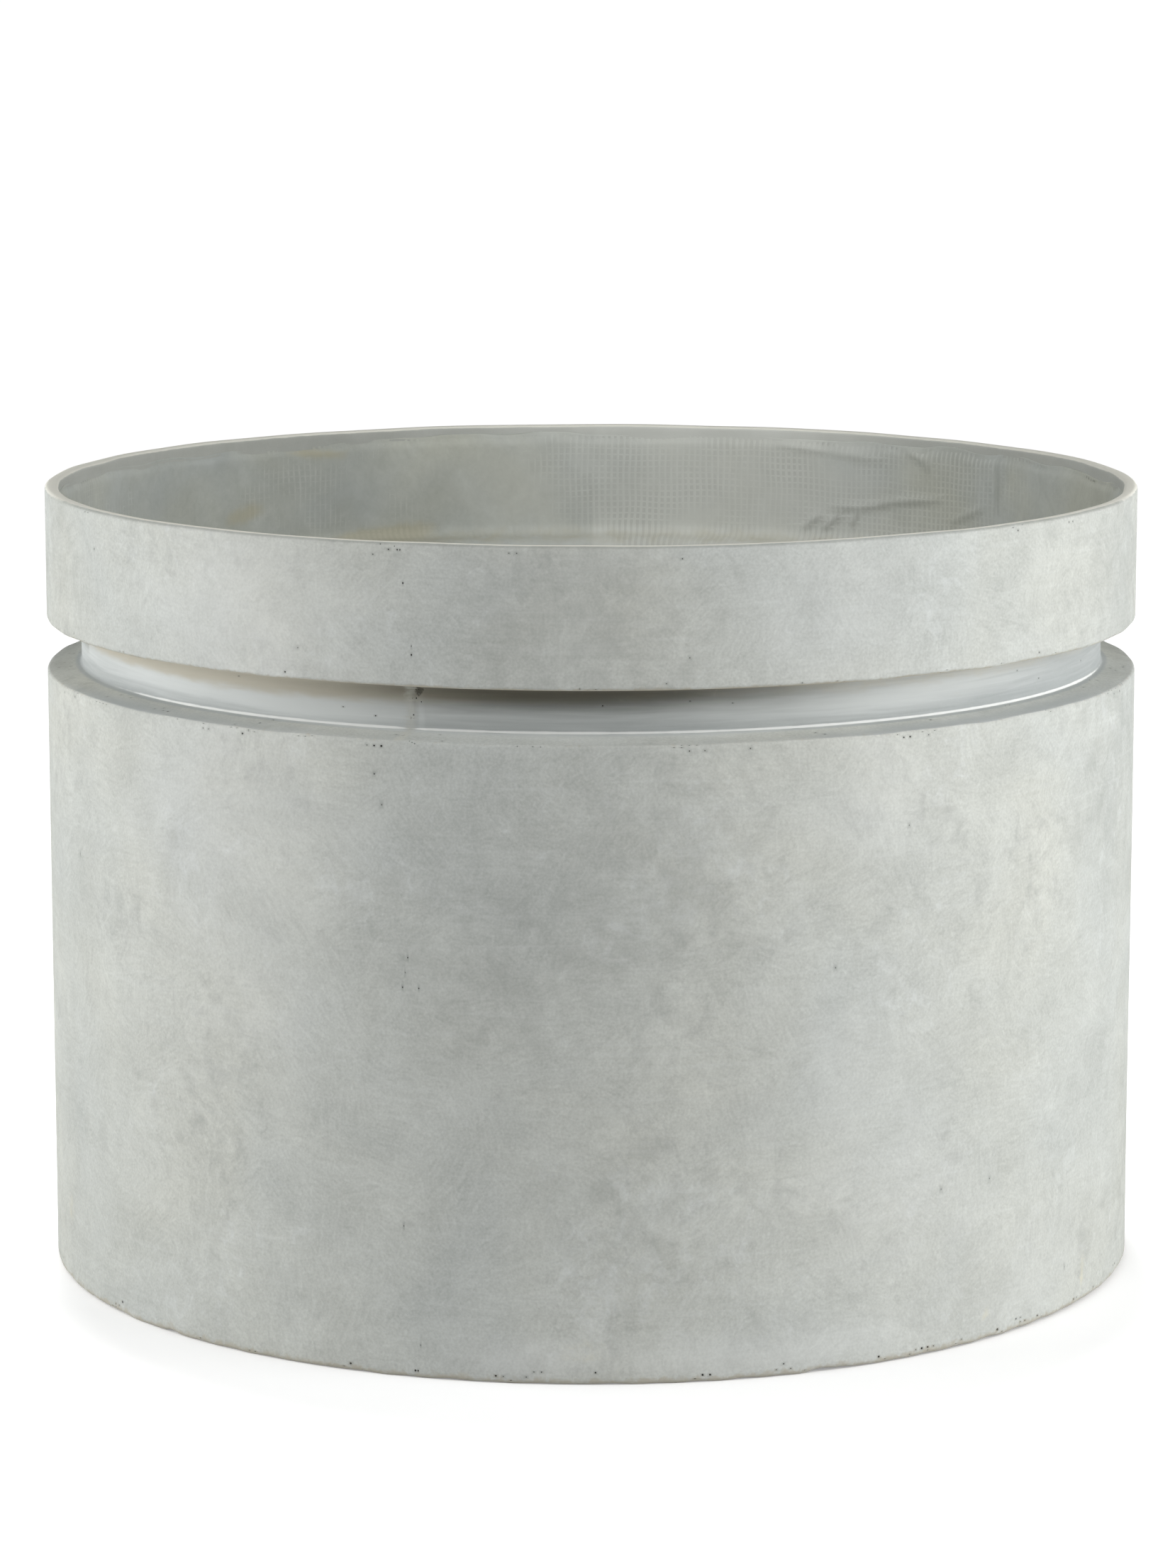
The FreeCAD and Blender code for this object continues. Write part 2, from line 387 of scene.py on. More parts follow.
@dataclass(frozen=True)
class Finish:
    """A matt, mottled finish made of layers of noise and overlays on mesh attributes.

    Attributes:
        name: what the surface is.
        dark: sRGB hex value of its darkest wash.
        light: sRGB hex value of its lightest wash.
        cool: tint of its cooler areas.
        warm: tint of its warmer areas.
        tint_size: width of those areas in millimetres.
        roughness: of the shader.
        specular: specular level of the shader.
        layers: mottling, from coarse to fine.
        smudges: uneven colours on the mottling.
        overlays: colours on top, in order.
    """

    name: str
    dark: str
    light: str
    cool: str = "FFFFFF"
    warm: str = "FFFFFF"
    tint_size: float = 140.0
    roughness: float = 0.8
    specular: float = 0.35
    layers: tuple[Mottle, ...] = ()
    smudges: tuple[Smudge, ...] = ()
    overlays: tuple[Overlay, ...] = ()

    def material(self) -> bpy.types.Material:
        """Build the finish's material.

        Returns:
            A material on object coordinates and the mesh's attributes.
        """
        material = bpy.data.materials.new(self.name)
        material.use_nodes = True
        tree = material.node_tree
        brush = Brush(tree, add_node(tree, "ShaderNodeTexCoord").outputs["Object"])
        tone = height = None
        for layer in self.layers:
            blotch = brush.noise(layer)
            tone = add_node(tree, "ShaderNodeMath", {
                0: blotch, 1: layer.tone, 2: tone or 0.5 - sum(m.tone for m in self.layers) / 2},
                operation="MULTIPLY_ADD")
            if layer.relief:
                height = add_node(tree, "ShaderNodeMath", {
                    0: blotch, 1: layer.relief, 2: height or 0.0}, operation="MULTIPLY_ADD")
        colour = add_node(tree, "ShaderNodeMix", {
            "Factor_Float": tone, "A_Color": linear(self.dark), "B_Color": linear(self.light)},
            data_type="RGBA").outputs[MIXED]
        drift = brush.noise(Mottle(size=self.tint_size, tone=1.0, detail=2.0))
        sharper = add_node(tree, "ShaderNodeMapRange", {
            "Value": drift, "From Min": TINT_SPAN[0], "From Max": TINT_SPAN[1]})
        tint = add_node(tree, "ShaderNodeMix", {
            "Factor_Float": sharper, "A_Color": linear(self.cool), "B_Color": linear(self.warm)},
            data_type="RGBA").outputs[MIXED]
        colour = add_node(tree, "ShaderNodeMix", {"Factor_Float": 1.0, "A_Color": colour, "B_Color": tint},
                          data_type="RGBA", blend_type="MULTIPLY").outputs[MIXED]
        for smudge in self.smudges:
            colour = brush.smear(colour, smudge)
        for overlay in self.overlays:
            colour = brush.lay(colour, overlay)
        shader = tree.nodes["Principled BSDF"]
        shader.inputs["Roughness"].default_value = self.roughness
        shader.inputs["Specular IOR Level"].default_value = self.specular
        tree.links.new(colour, shader.inputs["Base Color"])
        if height:
            bump = add_node(tree, "ShaderNodeBump", {"Height": height, "Distance": MM})
            tree.links.new(bump.outputs[0], shader.inputs["Normal"])
        return material


# What the wash and the slurry share: paler places, darker places, and painted shade along the lower side of a
# fold.
PALE = Overlay("pale", "DADCD6", cover=0.8, size=40, ragged=0.6, soft=0.5)
DIM = Overlay("dim", "83857E", cover=0.5, size=30, ragged=0.6, soft=0.5)
# Painted shade along the lower side of each fold.
PAINTED_FOLD_SHADE = Overlay("crease", "83857D", cover=0.28, size=8, ragged=0.7, soft=0.8)

# Cast fibre cement under a thin grey wash that was brushed and sponged on: matt, with soft clouds a few
# centimetres wide, wispy strokes inside them and a fine dusty grain. Bare beige cement shows where the
# brush did not reach.
WASHED_CEMENT = Finish(
    name="washed_cement", dark="A6A8A5", light="D2D4D1", cool="FBFDFC", warm="FFFFFA",
    roughness=0.9, specular=0.12,
    layers=(
        Mottle(size=130, tone=0.5, detail=2, swirl=0.5),
        Mottle(size=45, tone=0.9, relief=0.15, detail=8, rough=0.68, swirl=0.3),
        Mottle(size=2.2, tone=0.52, relief=0.03, stretch=(1, 1, 0.2), detail=3, swirl=0.3, dab=30),
        Mottle(size=1.5, tone=0.72, relief=0.02, detail=2, swirl=0.2),
    ),
    smudges=(
        Smudge("8E908D", 0.45, Mottle(size=14, tone=1, detail=8, rough=0.7, swirl=0.5), rare=0.53, soft=0.35),
        Smudge("DFE3E3", 0.4, Mottle(size=12, tone=1, detail=8, rough=0.68, swirl=0.9), rare=0.56, soft=0.35,
               area=90),
    ),
    overlays=(
        # Paler wash, with painted light in front: a sheen down the shoulders and floor bounce at the foot.
        Overlay("thick_wash", "E6E8E7", cover=0.3, size=30, ragged=0.7, soft=0.5),
        # Darker wash, with painted shade in front: down the middle and near the far sides.
        Overlay("thin_wash", "8F918C", cover=0.36, size=16, ragged=1.6, soft=0.5),
        Overlay("groove", "A4A9AA", cover=0.85, size=30, stretch=(1, 1, 9), ragged=0.5, soft=0.4),
        # Pale band along the neck, stronger aside as painted light from the side lamps; also painted light on
        # the inner ledge in front.
        Overlay("groove_streak", "DCE0DF", cover=0.85, size=60, stretch=(1, 1, 22), ragged=0.7, soft=0.6),
        Overlay("bare", "C4BFB0", cover=0.9, size=18, stretch=(1, 1, 4), ragged=0.5, soft=0.35),
        # Painted shade under the rim: the rim's shadow on the neck in front, a patchy dark band behind.
        Overlay("grime", "57554A", cover=0.9, size=60, stretch=(1, 1, 8), ragged=0.25, soft=0.5),
        # Near-white line along the groove's lower corner.
        Overlay("bead", "F2F4F2", cover=0.95, size=16, ragged=0.5, soft=0.2),
        Overlay("inside", "B8BAB4", cover=0.8, size=14, ragged=0.3, soft=0.3),
        PALE,
        # Darker places, and painted shade on the lip's front outer rounding.
        DIM,
        # Pale lip, made paler towards the far sides as painted light.
        Overlay("lip", "F0EFE4", cover=0.88, size=12, ragged=0.5, soft=0.3),
        Overlay("worn", "AFA999", cover=0.7, size=5, ragged=1.2, soft=0.25),
        Overlay("smear", "D2CEB9", cover=0.55, size=6, ragged=0.9, soft=0.4),
        Overlay("patch", "C3C4BC", cover=0.7, size=6, stretch=(1, 1, 3), ragged=0.8, soft=0.3),
        Overlay("crumb", "4E4D45", cover=0.8, size=2.2, ragged=1.2, soft=0.12),
        # Painted shade in the pinholes, darkest at their feet.
        Overlay("pit", "2E2E29", cover=0.95, ragged=0.0, soft=0.5),
    ),
)

# Cement slurry that was brushed over open glass mesh: darker and greyer than the wash, sunk between the
# strands where they show, with faint yellow stains where the slurry is thin.
MESH_BED = Finish(
    name="mesh_bedding_slurry", dark="A2A49E", light="D5D7D2", cool="F8FCFF", warm="FFFFF6", tint_size=90,
    roughness=0.82, specular=0.25,
    layers=(
        Mottle(size=70, tone=0.55, detail=3, swirl=1.0),
        Mottle(size=20, tone=0.45, relief=0.2, detail=4, swirl=1.6),
        Mottle(size=4, tone=0.3, relief=0.08, detail=3, swirl=1.0),
    ),
    overlays=(
        PALE,
        DIM,
        Overlay("show", "A2A49E", cover=0.3, size=15, ragged=0.5, soft=0.5),
        PAINTED_FOLD_SHADE,
        Overlay("stain", "B0A98C", cover=0.5, size=12, ragged=0.8, soft=0.4),
    ),
)

# Strands of that mesh under a skin of slurry: slightly proud of the bed, rubbed paler along their crests.
SCRIM_STRAND = replace(
    MESH_BED, name="slurried_mesh_strand", roughness=0.8,
    layers=(
        Mottle(size=70, tone=0.55, detail=3, swirl=1.0),
        Mottle(size=6, tone=0.5, relief=0.08, detail=3, swirl=1.0),
    ),
    overlays=(
        PALE,
        DIM,
        Overlay("rub", "CDCFC9", cover=0.45, size=11, ragged=1.3, soft=0.6),
        PAINTED_FOLD_SHADE,
        Overlay("stain", "B5AE92", cover=0.5, size=12, ragged=0.8, soft=0.4),
    ),
)

# Moulded black rubber: dark charcoal, satin, with a dusting of cement in its grain.
PLUG_RUBBER = Finish(
    name="moulded_rubber", dark="19191A", light="343434", roughness=0.55, specular=0.5,
    layers=(
        Mottle(size=14, tone=0.6, detail=3, swirl=0.6),
        Mottle(size=1.2, tone=0.5, relief=0.03, detail=2, swirl=0.2),
    ),
)


@dataclass(frozen=True)
class PotSizes:
    """Sizes of the casting and its lining, in millimetres. Radius and height come from the frame.

    Attributes:
        radius: of the rim band and the drum.
        height: of the pot.
        rim_band: height of the rim band.
        groove_opening: height of the groove at its mouth.
        groove_depth: from the outer wall in to the neck.
        groove_fall: how far each side of the groove slopes in towards the neck.
        wall: thickness of the rim, the neck and the drum.
        web: how far the bends inside lie above or below those of the groove.
        floor_thickness: of the cast floor.
        ring_width: of the standing ring.
        ring_height: of the standing ring below the floor.
        lip_round: rounding of the lip.
        arris_round: rounding of the groove's outer edges.
        cove_round: rounding of the groove's corners at the neck.
        foot_round: rounding of the foot.
        inner_round: rounding of the bends inside.
        floor_round: rounding between the inner wall and the floor.
        mesh: thickness of the linings.
        mesh_margin: from the lip down to the wall lining, where its edge lies highest.
        mesh_lap: how far the wall lining runs in over the floor.
        mesh_disc_margin: from the foot of the inner wall to the floor lining's edge.
        mesh_joggle: length of the floor lining's step down from that lap.
        drain: radius of the drain hole.
        drain_chamfer: chamfer at the hole's lower end.
    """

    radius: float
    height: float
    rim_band: float = 79.5
    groove_opening: float = 30.8
    groove_depth: float = 20.7
    groove_fall: float = 3.4
    wall: float = 8.3
    web: float = 6.0
    floor_thickness: float = 11.0
    ring_width: float = 40.0
    ring_height: float = 4.0
    lip_round: float = 2.5
    arris_round: float = 2.0
    cove_round: float = 2.0
    foot_round: float = 2.5
    inner_round: float = 8.0
    floor_round: float = 14.0
    mesh: float = 1.2
    mesh_margin: float = 4.0
    mesh_lap: float = 45.0
    mesh_disc_margin: float = 10.0
    mesh_joggle: float = 5.0
    drain: float = 15.0
    drain_chamfer: float = 1.5

    @classmethod
    def from_frame(cls) -> "PotSizes":
        """Read the pot's radius and height from the frame."""
        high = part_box("pot_shell")[1]
        return cls(radius=round(high.x / MM, 1), height=round(high.z / MM, 1))

    @property
    def neck(self) -> float:
        """Outer radius of the neck."""
        return self.radius - self.groove_depth

    @property
    def inner(self) -> float:
        """Inner radius of the rim and the drum."""
        return self.radius - self.wall

    @property
    def neck_inner(self) -> float:
        """Inner radius of the neck."""
        return self.neck - self.wall

    @property
    def rim_bottom(self) -> float:
        """Height of the rim band's lower edge."""
        return self.height - self.rim_band

    @property
    def neck_top(self) -> float:
        """Height of the neck's upper corner."""
        return self.rim_bottom - self.groove_fall

    @property
    def drum_top(self) -> float:
        """Height of the drum's upper edge."""
        return self.rim_bottom - self.groove_opening

    @property
    def neck_bottom(self) -> float:
        """Height of the neck's lower corner."""
        return self.drum_top + self.groove_fall

    @property
    def floor(self) -> float:
        """Height of the cast floor."""
        return self.ring_height + self.floor_thickness

    @property
    def lining_top(self) -> float:
        """Height of the wall lining's cut edge."""
        return self.height - self.mesh_margin

    @property
    def lining_foot(self) -> float:
        """Radius where the wall lining ends on the floor."""
        return self.inner - self.floor_round - self.mesh_lap

    @property
    def disc_reach(self) -> float:
        """Radius of the floor lining."""
        return self.inner - self.floor_round - self.mesh_disc_margin

    @property
    def web_shift(self) -> float:
        """How far the lining's corners shift along the wall past a sloped web."""
        slope = self.groove_fall / self.groove_depth
        return self.mesh * (math.sqrt(1 + slope * slope) - slope)


@dataclass(frozen=True)
class Corner:
    """Corner of a turned outline, in millimetres.

    Attributes:
        radius: distance from the axis.
        height: height above the floor.
        step: spacing of the points on the run that follows.
        rounding: radius of the corner, or zero.
    """

    radius: float
    height: float
    step: float
    rounding: float = 0.0


def inner_bends(s: PotSizes, step: float) -> list[Corner]:
    """Corners of the casting's inside, from the foot of the rim down to the floor.

    Args:
        s: sizes of the pot.
        step: spacing of their points.

    Returns:
        The corners in order.
    """
    bends = ((s.inner, s.rim_bottom + s.web), (s.neck_inner, s.neck_top + s.web),
             (s.neck_inner, s.neck_bottom - s.web), (s.inner, s.drum_top - s.web))
    corners = [Corner(radius, height, step, s.inner_round) for radius, height in bends]
    return [*corners, Corner(s.inner, s.floor, step, s.floor_round)]


def unit(way: np.ndarray) -> np.ndarray:
    """Vector of length 1 that points the same way."""
    return way / np.linalg.norm(way)


def rounded(before: np.ndarray, spot: np.ndarray, after: np.ndarray, radius: float) -> list[np.ndarray]:
    """Points of a corner.

    Args:
        before: the corner before it.
        spot: the corner itself.
        after: the corner after it.
        radius: its rounding, or zero.

    Returns:
        The points of its arc in order, or the corner alone.
    """
    if not radius:
        return [spot]
    back, onward = unit(before - spot), unit(after - spot)
    half = math.acos(np.clip(back @ onward, -1, 1)) / 2
    centre = spot + unit(back + onward) * radius / math.sin(half)
    reach = radius / math.tan(half)
    start, stop = spot + back * reach - centre, spot + onward * reach - centre
    turn = math.pi - 2 * half
    shares = np.linspace(0, 1, ARC_STEPS + 1)
    return [centre + (start * math.sin((1 - s) * turn) + stop * math.sin(s * turn)) / math.sin(turn)
            for s in shares]


def trace(corners: Sequence[Corner]) -> np.ndarray:
    """Points of a closed outline with rounded corners.

    Args:
        corners: corners in order, with the solid on the left.

    Returns:
        One row for each point, with its radius and height in millimetres.
    """
    spots = [np.array((corner.radius, corner.height)) for corner in corners]
    arcs = [rounded(spots[n - 1], spot, spots[(n + 1) % len(spots)], corners[n].rounding)
            for n, spot in enumerate(spots)]
    points = []
    for number, corner in enumerate(corners):
        points.extend(arcs[number])
        begin, end = arcs[number][-1], arcs[(number + 1) % len(arcs)][0]
        count = max(1, round(float(np.linalg.norm(end - begin)) / corner.step))
        points.extend(begin + (end - begin) * k / count for k in range(1, count))
    return np.array(points)


def outward(line: np.ndarray) -> np.ndarray:
    """Directions that point out of a closed outline.

    Args:
        line: points of the outline, with the solid on the left.

    Returns:
        One unit vector for each point.
    """
    along = np.roll(line, -1, axis=0) - np.roll(line, 1, axis=0)
    return np.stack((along[:, 1], -along[:, 0]), axis=1) / np.linalg.norm(along, axis=1, keepdims=True)


def nearest(line: np.ndarray, radius: float, height: float) -> int:
    """Number of the outline point that lies nearest to a place."""
    return int(np.argmin(np.abs(line - (radius, height)).sum(axis=1)))


def turned_mesh(name: str, radius: np.ndarray, height: np.ndarray, azimuth: np.ndarray) -> bpy.types.Mesh:
    """Closed mesh turned about the axis.

    Args:
        name: name of the mesh.
        radius: radii in millimetres, a row for each outline point and a column for each azimuth.
        height: heights in millimetres, alike.
        azimuth: radians from the front, one for each column.

    Returns:
        The mesh, smooth, with its faces pointing out of the solid.
    """
    rows, columns = radius.shape
    points = np.stack((radius * np.sin(azimuth), -radius * np.cos(azimuth), height), axis=-1) * MM
    number = np.arange(rows * columns).reshape(rows, columns)
    beside = np.roll(number, -1, axis=1)
    faces = np.stack((number, beside, np.roll(beside, -1, axis=0), np.roll(number, -1, axis=0)), axis=-1)
    mesh = bpy.data.meshes.new(name)
    mesh.from_pydata(points.reshape(-1, 3), [], faces.reshape(-1, 4))
    mesh.shade_smooth()
    return mesh


def set_attributes(mesh: bpy.types.Mesh, looks: dict[str, np.ndarray]) -> None:
    """Store numbers for each point of a mesh.

    Args:
        mesh: the mesh.
        looks: names of attributes, to one number for each point, in order.
    """
    for name, values in looks.items():
        layer = mesh.attributes.new(name, "FLOAT", "POINT")
        layer.data.foreach_set("value", np.ascontiguousarray(values, dtype=np.float32).ravel())


def new_piece(mesh: bpy.types.Mesh, body: Body, nodes: Sequence[str] = ()) -> bpy.types.Object:
    """Put a finished mesh into the scene and tie it to the frame.

    Args:
        mesh: a mesh in the frame's own place.
        body: the body that it rides on.
        nodes: nodes of the frame that it stands for.

    Returns:
        The piece, named as its mesh.
    """
    piece = add_object(mesh.name, mesh)
    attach(piece, body.value)
    if nodes:
        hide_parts(*nodes)
    mesh.calc_loop_triangles()
    LOG.info("%s: %d triangles on %s", piece.name, len(mesh.loop_triangles), body.value)
    return piece


@dataclass(frozen=True)
class Dab:
    """Soft patch of another tone on the casting's wall.

    Attributes:
        azimuth: of its middle in degrees.
        height: of its middle in millimetres.
        reach: half width in degrees.
        tall: half height in millimetres.
        strength: at its middle.
    """

    azimuth: float
    height: float
    reach: float
    tall: float
    strength: float = 1.0

    def at(self, azimuth: np.ndarray, height: np.ndarray) -> np.ndarray:
        """Strength at azimuths in degrees and heights in millimetres."""
        return self.strength * around(self.reach, turn_from(self.azimuth, azimuth)) * around(
            self.tall, height - self.height)


@dataclass(frozen=True)
class PitBand:
    """Band of pinholes on the casting.

    Attributes:
        low: lowest height in millimetres.
        high: highest height.
        count: number of pinholes.
        widest: largest diameter in millimetres.
        azimuths: first and last azimuth in degrees.
        radii: smallest and largest radius in millimetres.
        cluster: most pinholes side by side.
    """

    low: float
    high: float
    count: int
    widest: float
    radii: tuple[float, float]
    azimuths: tuple[float, float] = (-180.0, 180.0)
    cluster: int = 1


@dataclass
class Pinholes:
    """Pinholes that trapped air left in the casting. Lengths are in millimetres.

    Attributes:
        sizes: sizes of the pot.
        seam: azimuth of the casting's seam in degrees.
        seed: seed of their places and widths.
        least: diameter of the smallest.
        skew: power that makes the small ones more common.
        edge: how dark a mouth is, from 0 to 1.
        depth_share: depth as a share of the diameter.
        taper_share: width of the foot as a share of the mouth.
        room: largest radius as a share of the shortest side of the face that it sits in.
    """

    sizes: PotSizes
    seam: float
    seed: int = 11
    least: float = 0.6
    skew: float = 1.5
    # edge: how much painted shade a mouth gets, from 0 to 1.
    edge: float = 0.35
    depth_share: float = 0.55
    taper_share: float = 0.6
    room: float = 0.42

    def bands(self) -> list[PitBand]:
        """Bands of pinholes: along the edges, along the seams, in the groove and a few on the open wall."""
        s = self.sizes
        wall = (s.radius - 1.6, s.radius)
        neck = (s.neck - 0.5, s.neck + 0.5)
        bands = [
            PitBand(s.rim_bottom, s.rim_bottom + 4, 100, 1.3, wall, cluster=2),
            PitBand(s.drum_top - 3.5, s.drum_top, 170, 1.4, wall, cluster=3),
            PitBand(s.height - 9, s.height - 1, 50, 1.3, wall, cluster=3),
            PitBand(1.5, 10, 90, 1.7, wall, cluster=3),
            PitBand(14, s.drum_top - 14, 26, 0.9, wall),
            PitBand(s.rim_bottom + 12, s.height - 12, 12, 0.9, wall),
            PitBand(s.neck_bottom + 2, s.neck_top - 2, 18, 1.0, neck),
            PitBand(s.drum_top, s.neck_bottom, 60, 1.3, (s.neck + 3, s.radius - 2), cluster=2),
        ]
        for seam in (self.seam, self.seam + 180):
            near = (seam - 0.9, seam + 0.9)
            bands.append(PitBand(14, s.drum_top - 10, 6, 1.4, wall, near))
            bands.append(PitBand(s.rim_bottom + 4, s.height - 8, 3, 1.3, wall, near))
            bands.append(PitBand(s.neck_bottom + 2, s.neck_top, 4, 1.4, neck, (seam - 2.6, seam + 0.6), 2))
        return bands

    def sink(self, mesh: bpy.types.Mesh, line: np.ndarray, azimuth: np.ndarray) -> None:
        """Sink the pinholes into the mesh, each as a small well in one face.

        Args:
            mesh: the turned mesh.
            line: the outline that it was turned from.
            azimuth: azimuths of its columns.
        """
        rng = np.random.default_rng(self.seed)
        wells = bmesh.new()
        wells.from_mesh(mesh)
        wells.faces.ensure_lookup_table()
        pit = wells.verts.layers.float["pit"]
        radius, height = ((line + np.roll(line, -1, axis=0)) / 2).T
        degrees = np.degrees(azimuth)
        chosen: dict[int, float] = {}
        placed: dict[PitBand, int] = {}
        for band in self.bands():
            rows = np.flatnonzero((radius > band.radii[0]) & (radius < band.radii[1] + 0.1)
                                  & (height > band.low) & (height < band.high))
            columns = np.flatnonzero((degrees >= band.azimuths[0]) & (degrees < band.azimuths[1]))
            while rows.size and columns.size and band.count > placed.get(band, 0):
                first = int(rng.choice(columns))
                for step in range(int(rng.integers(1, band.cluster + 1))):
                    face = int(rng.choice(rows)) * azimuth.size + (first + step) % azimuth.size
                    chosen[face] = self.least + (band.widest - self.least) * rng.random() ** self.skew
                    placed[band] = placed.get(band, 0) + 1
        for face, width in [(wells.faces[number], width) for number, width in chosen.items()]:
            self.well(wells, face, width / 2 * MM, pit)
        wells.to_mesh(mesh)
        wells.free()

    def well(self, wells: bmesh.types.BMesh, face: bmesh.types.BMFace, radius: float,
             pit: bmesh.types.BMLayerItem) -> None:
        """Replace a face by a ring of faces round a tapered well.

        Args:
            wells: the mesh that is worked on.
            face: a four-sided face.
            radius: of the well's mouth, in metres.
            pit: layer that marks the painted shade inside the well.
        """
        corners = list(face.verts)
        normal = face.normal.copy()
        centre = face.calc_center_median()
        sides = [edge.calc_length() for edge in face.edges]
        radius = min(radius, self.room * min(sides))
        ways = []
        for corner, after in zip(corners, corners[1:] + corners[:1]):
            for target in (corner.co, (corner.co + after.co) / 2):
                way = target - centre
                ways.append((way - way.dot(normal) * normal).normalized())
        sink = normal * radius * 2 * self.depth_share
        taper = self.taper_share
        mouth = [wells.verts.new(centre + way * radius, corners[0]) for way in ways]
        foot = [wells.verts.new(centre + way * radius * taper - sink, corners[0]) for way in ways]
        for vertex in foot:
            vertex[pit] = 1.0
        for vertex in mouth:
            vertex[pit] = self.edge
        wells.faces.remove(face)
        made = []
        for k in range(len(corners)):
            after = (k + 1) % len(corners)
            rim = (mouth[2 * after], mouth[2 * k + 1], mouth[2 * k])
            made.append(wells.faces.new((corners[k], corners[after], *rim)))
        for k in range(len(mouth)):
            after = (k + 1) % len(mouth)
            made.append(wells.faces.new((mouth[k], mouth[after], foot[after], foot[k])))
            wells.edges.get((mouth[k], mouth[after])).smooth = False
        made.append(wells.faces.new(foot))
        for piece in made:
            piece.smooth = True


@dataclass
class CastShell:
    """The cement casting: rim band, groove and neck, drum, floor and standing ring.

    Lengths are in millimetres, and azimuths and reaches in degrees.

    Attributes:
        sizes: sizes of the pot.
        lining: the wall lining, whose pale and dim places run on up to the lip.
        columns: points round the pot.
        seam_columns: closer points on each side of a seam.
        column_gap: least gap between those and the others.
        seam: azimuth of the mould's seam, which has a second one opposite.
        seam_ridge: height of its ridge.
        seam_width: half width of that ridge.
        seam_waves: waves of its height.
        out_of_round: how far the wall strays from a circle.
        round_waves: waves of that straying.
        edge_wander: how far the edges wander up and down.
        edge_reach: how far from an edge its wander is felt.
        edge_waves: waves of the groove's edges.
        lip_wander: how far the lip's inner edge wanders in and out.
        lip_reach: how far below the lip its wander is felt.
        lip_waves: waves of its inner edge.
        brim_waves: waves of its top.
        wave_share: share of a wander that a usual wave takes.
        patch_shift: from the seam to the middle of the patch that was filled in the groove.
        patch_reach: half width of that patch.
        patch_depth: how far from the neck it lies.
        patch_lumps: height of its lumps.
        patch_waves: waves of those lumps.
        foot_lift: how far the foot is worn up at the right.
        foot_worn: azimuths between which that wear grows, and between which it fades.
        foot_reach: how far above the foot its wear is felt.
        foot_depth: how far in from the wall its wear is felt.
        foot_wander: least wear of the foot, and how much its waves add.
        foot_waves: waves of the foot.
        chips: chips of the foot, with their depths.
        rim_shade_waves: waves of the patchy painted shade under the rim behind.
        smears: cement smeared on the wall.
        thick_wash: paler places of the wash; in front they are painted light, a sheen down the shoulders and
            floor bounce at the foot.
        thin_wash: darker places of the wash; in front they are painted shade down the middle and near the far
            sides.
    """

    sizes: PotSizes
    lining: "WallLining"
    columns: int = 480
    seam_columns: int = 5
    column_gap: float = 0.25
    seam: float = -17.9
    seam_ridge: float = 0.18
    seam_width: float = 1.6
    seam_waves: Wander = Wander(5, (0, 0), 14)
    out_of_round: float = 0.3
    round_waves: Wander = Wander(3, (2, 9))
    edge_wander: float = 0.45
    edge_reach: float = 5.0
    edge_waves: Wander = Wander(7, (8, 60))
    lip_wander: float = 0.7
    lip_reach: float = 4.0
    lip_waves: Wander = Wander(9, (3, 40))
    brim_waves: Wander = Wander(10, (3, 30))
    wave_share: float = 0.6
    patch_shift: float = -0.6
    patch_reach: float = 1.5
    patch_depth: float = 6.0
    patch_lumps: float = 0.9
    patch_waves: Wander = Wander(13, (60, 330), 24, 40)
    foot_lift: float = 1.8
    foot_worn: tuple[float, float, float, float] = (15.0, 75.0, 110.0, 165.0)
    foot_reach: float = 6.0
    foot_depth: float = 14.0
    foot_wander: float = 0.25
    foot_waves: Wander = Wander(15, (20, 90))
    chips: Bells = ((23.0, 1.6, 1.4), (25.6, 0.8, 0.9), (-47.7, 0.7, 1.1), (-64.0, 0.5, 0.8),
                    (118.0, 1.3, 1.2), (-133.0, 0.9, 1.0))
    rim_shade_waves: Wander = Wander(41, (2, 9))
    smears: tuple[Dab, ...] = (
        Dab(-0.6, 19, 2.6, 4), Dab(-71, 44.6, 1.2, 5), Dab(61.6, 18, 0.35, 9), Dab(43.6, 16, 0.4, 1.5))
    # Paler places; the front ones on the shoulders and at the foot are painted light.
    thick_wash: tuple[Dab, ...] = (
        Dab(-36, 435, 13, 60, 0.66), Dab(-40, 310, 15, 75, 0.62), Dab(-36, 195, 12, 50, 0.36),
        Dab(25, 435, 10, 60, 0.5), Dab(28, 320, 12, 45, 0.36), Dab(25, 190, 11, 45, 0.36),
        Dab(30, 100, 14, 60, 0.45), Dab(53, 35, 12, 40, 0.42), Dab(18, 15, 20, 15, 0.75),
        Dab(-8, 15, 7, 14, 0.66), Dab(130, 300, 18, 80, 0.55), Dab(-150, 140, 16, 70, 0.5),
        Dab(175, 435, 14, 60, 0.55))
    # Darker places; the front ones down the middle and near the far sides are painted shade.
    thin_wash: tuple[Dab, ...] = (
        Dab(-1, 435, 12, 60, 0.7), Dab(8, 285, 9, 70, 0.58), Dab(-9, 240, 12, 60, 0.52),
        Dab(3, 105, 8, 40, 0.4), Dab(71, 435, 13, 60, 0.62), Dab(68, 310, 13, 80, 0.46),
        Dab(-72, 435, 9, 60, 0.42), Dab(74, 45, 9, 40, 0.42), Dab(155, 190, 14, 70, 0.55),
        Dab(-115, 320, 15, 80, 0.55), Dab(-140, 435, 12, 60, 0.6))

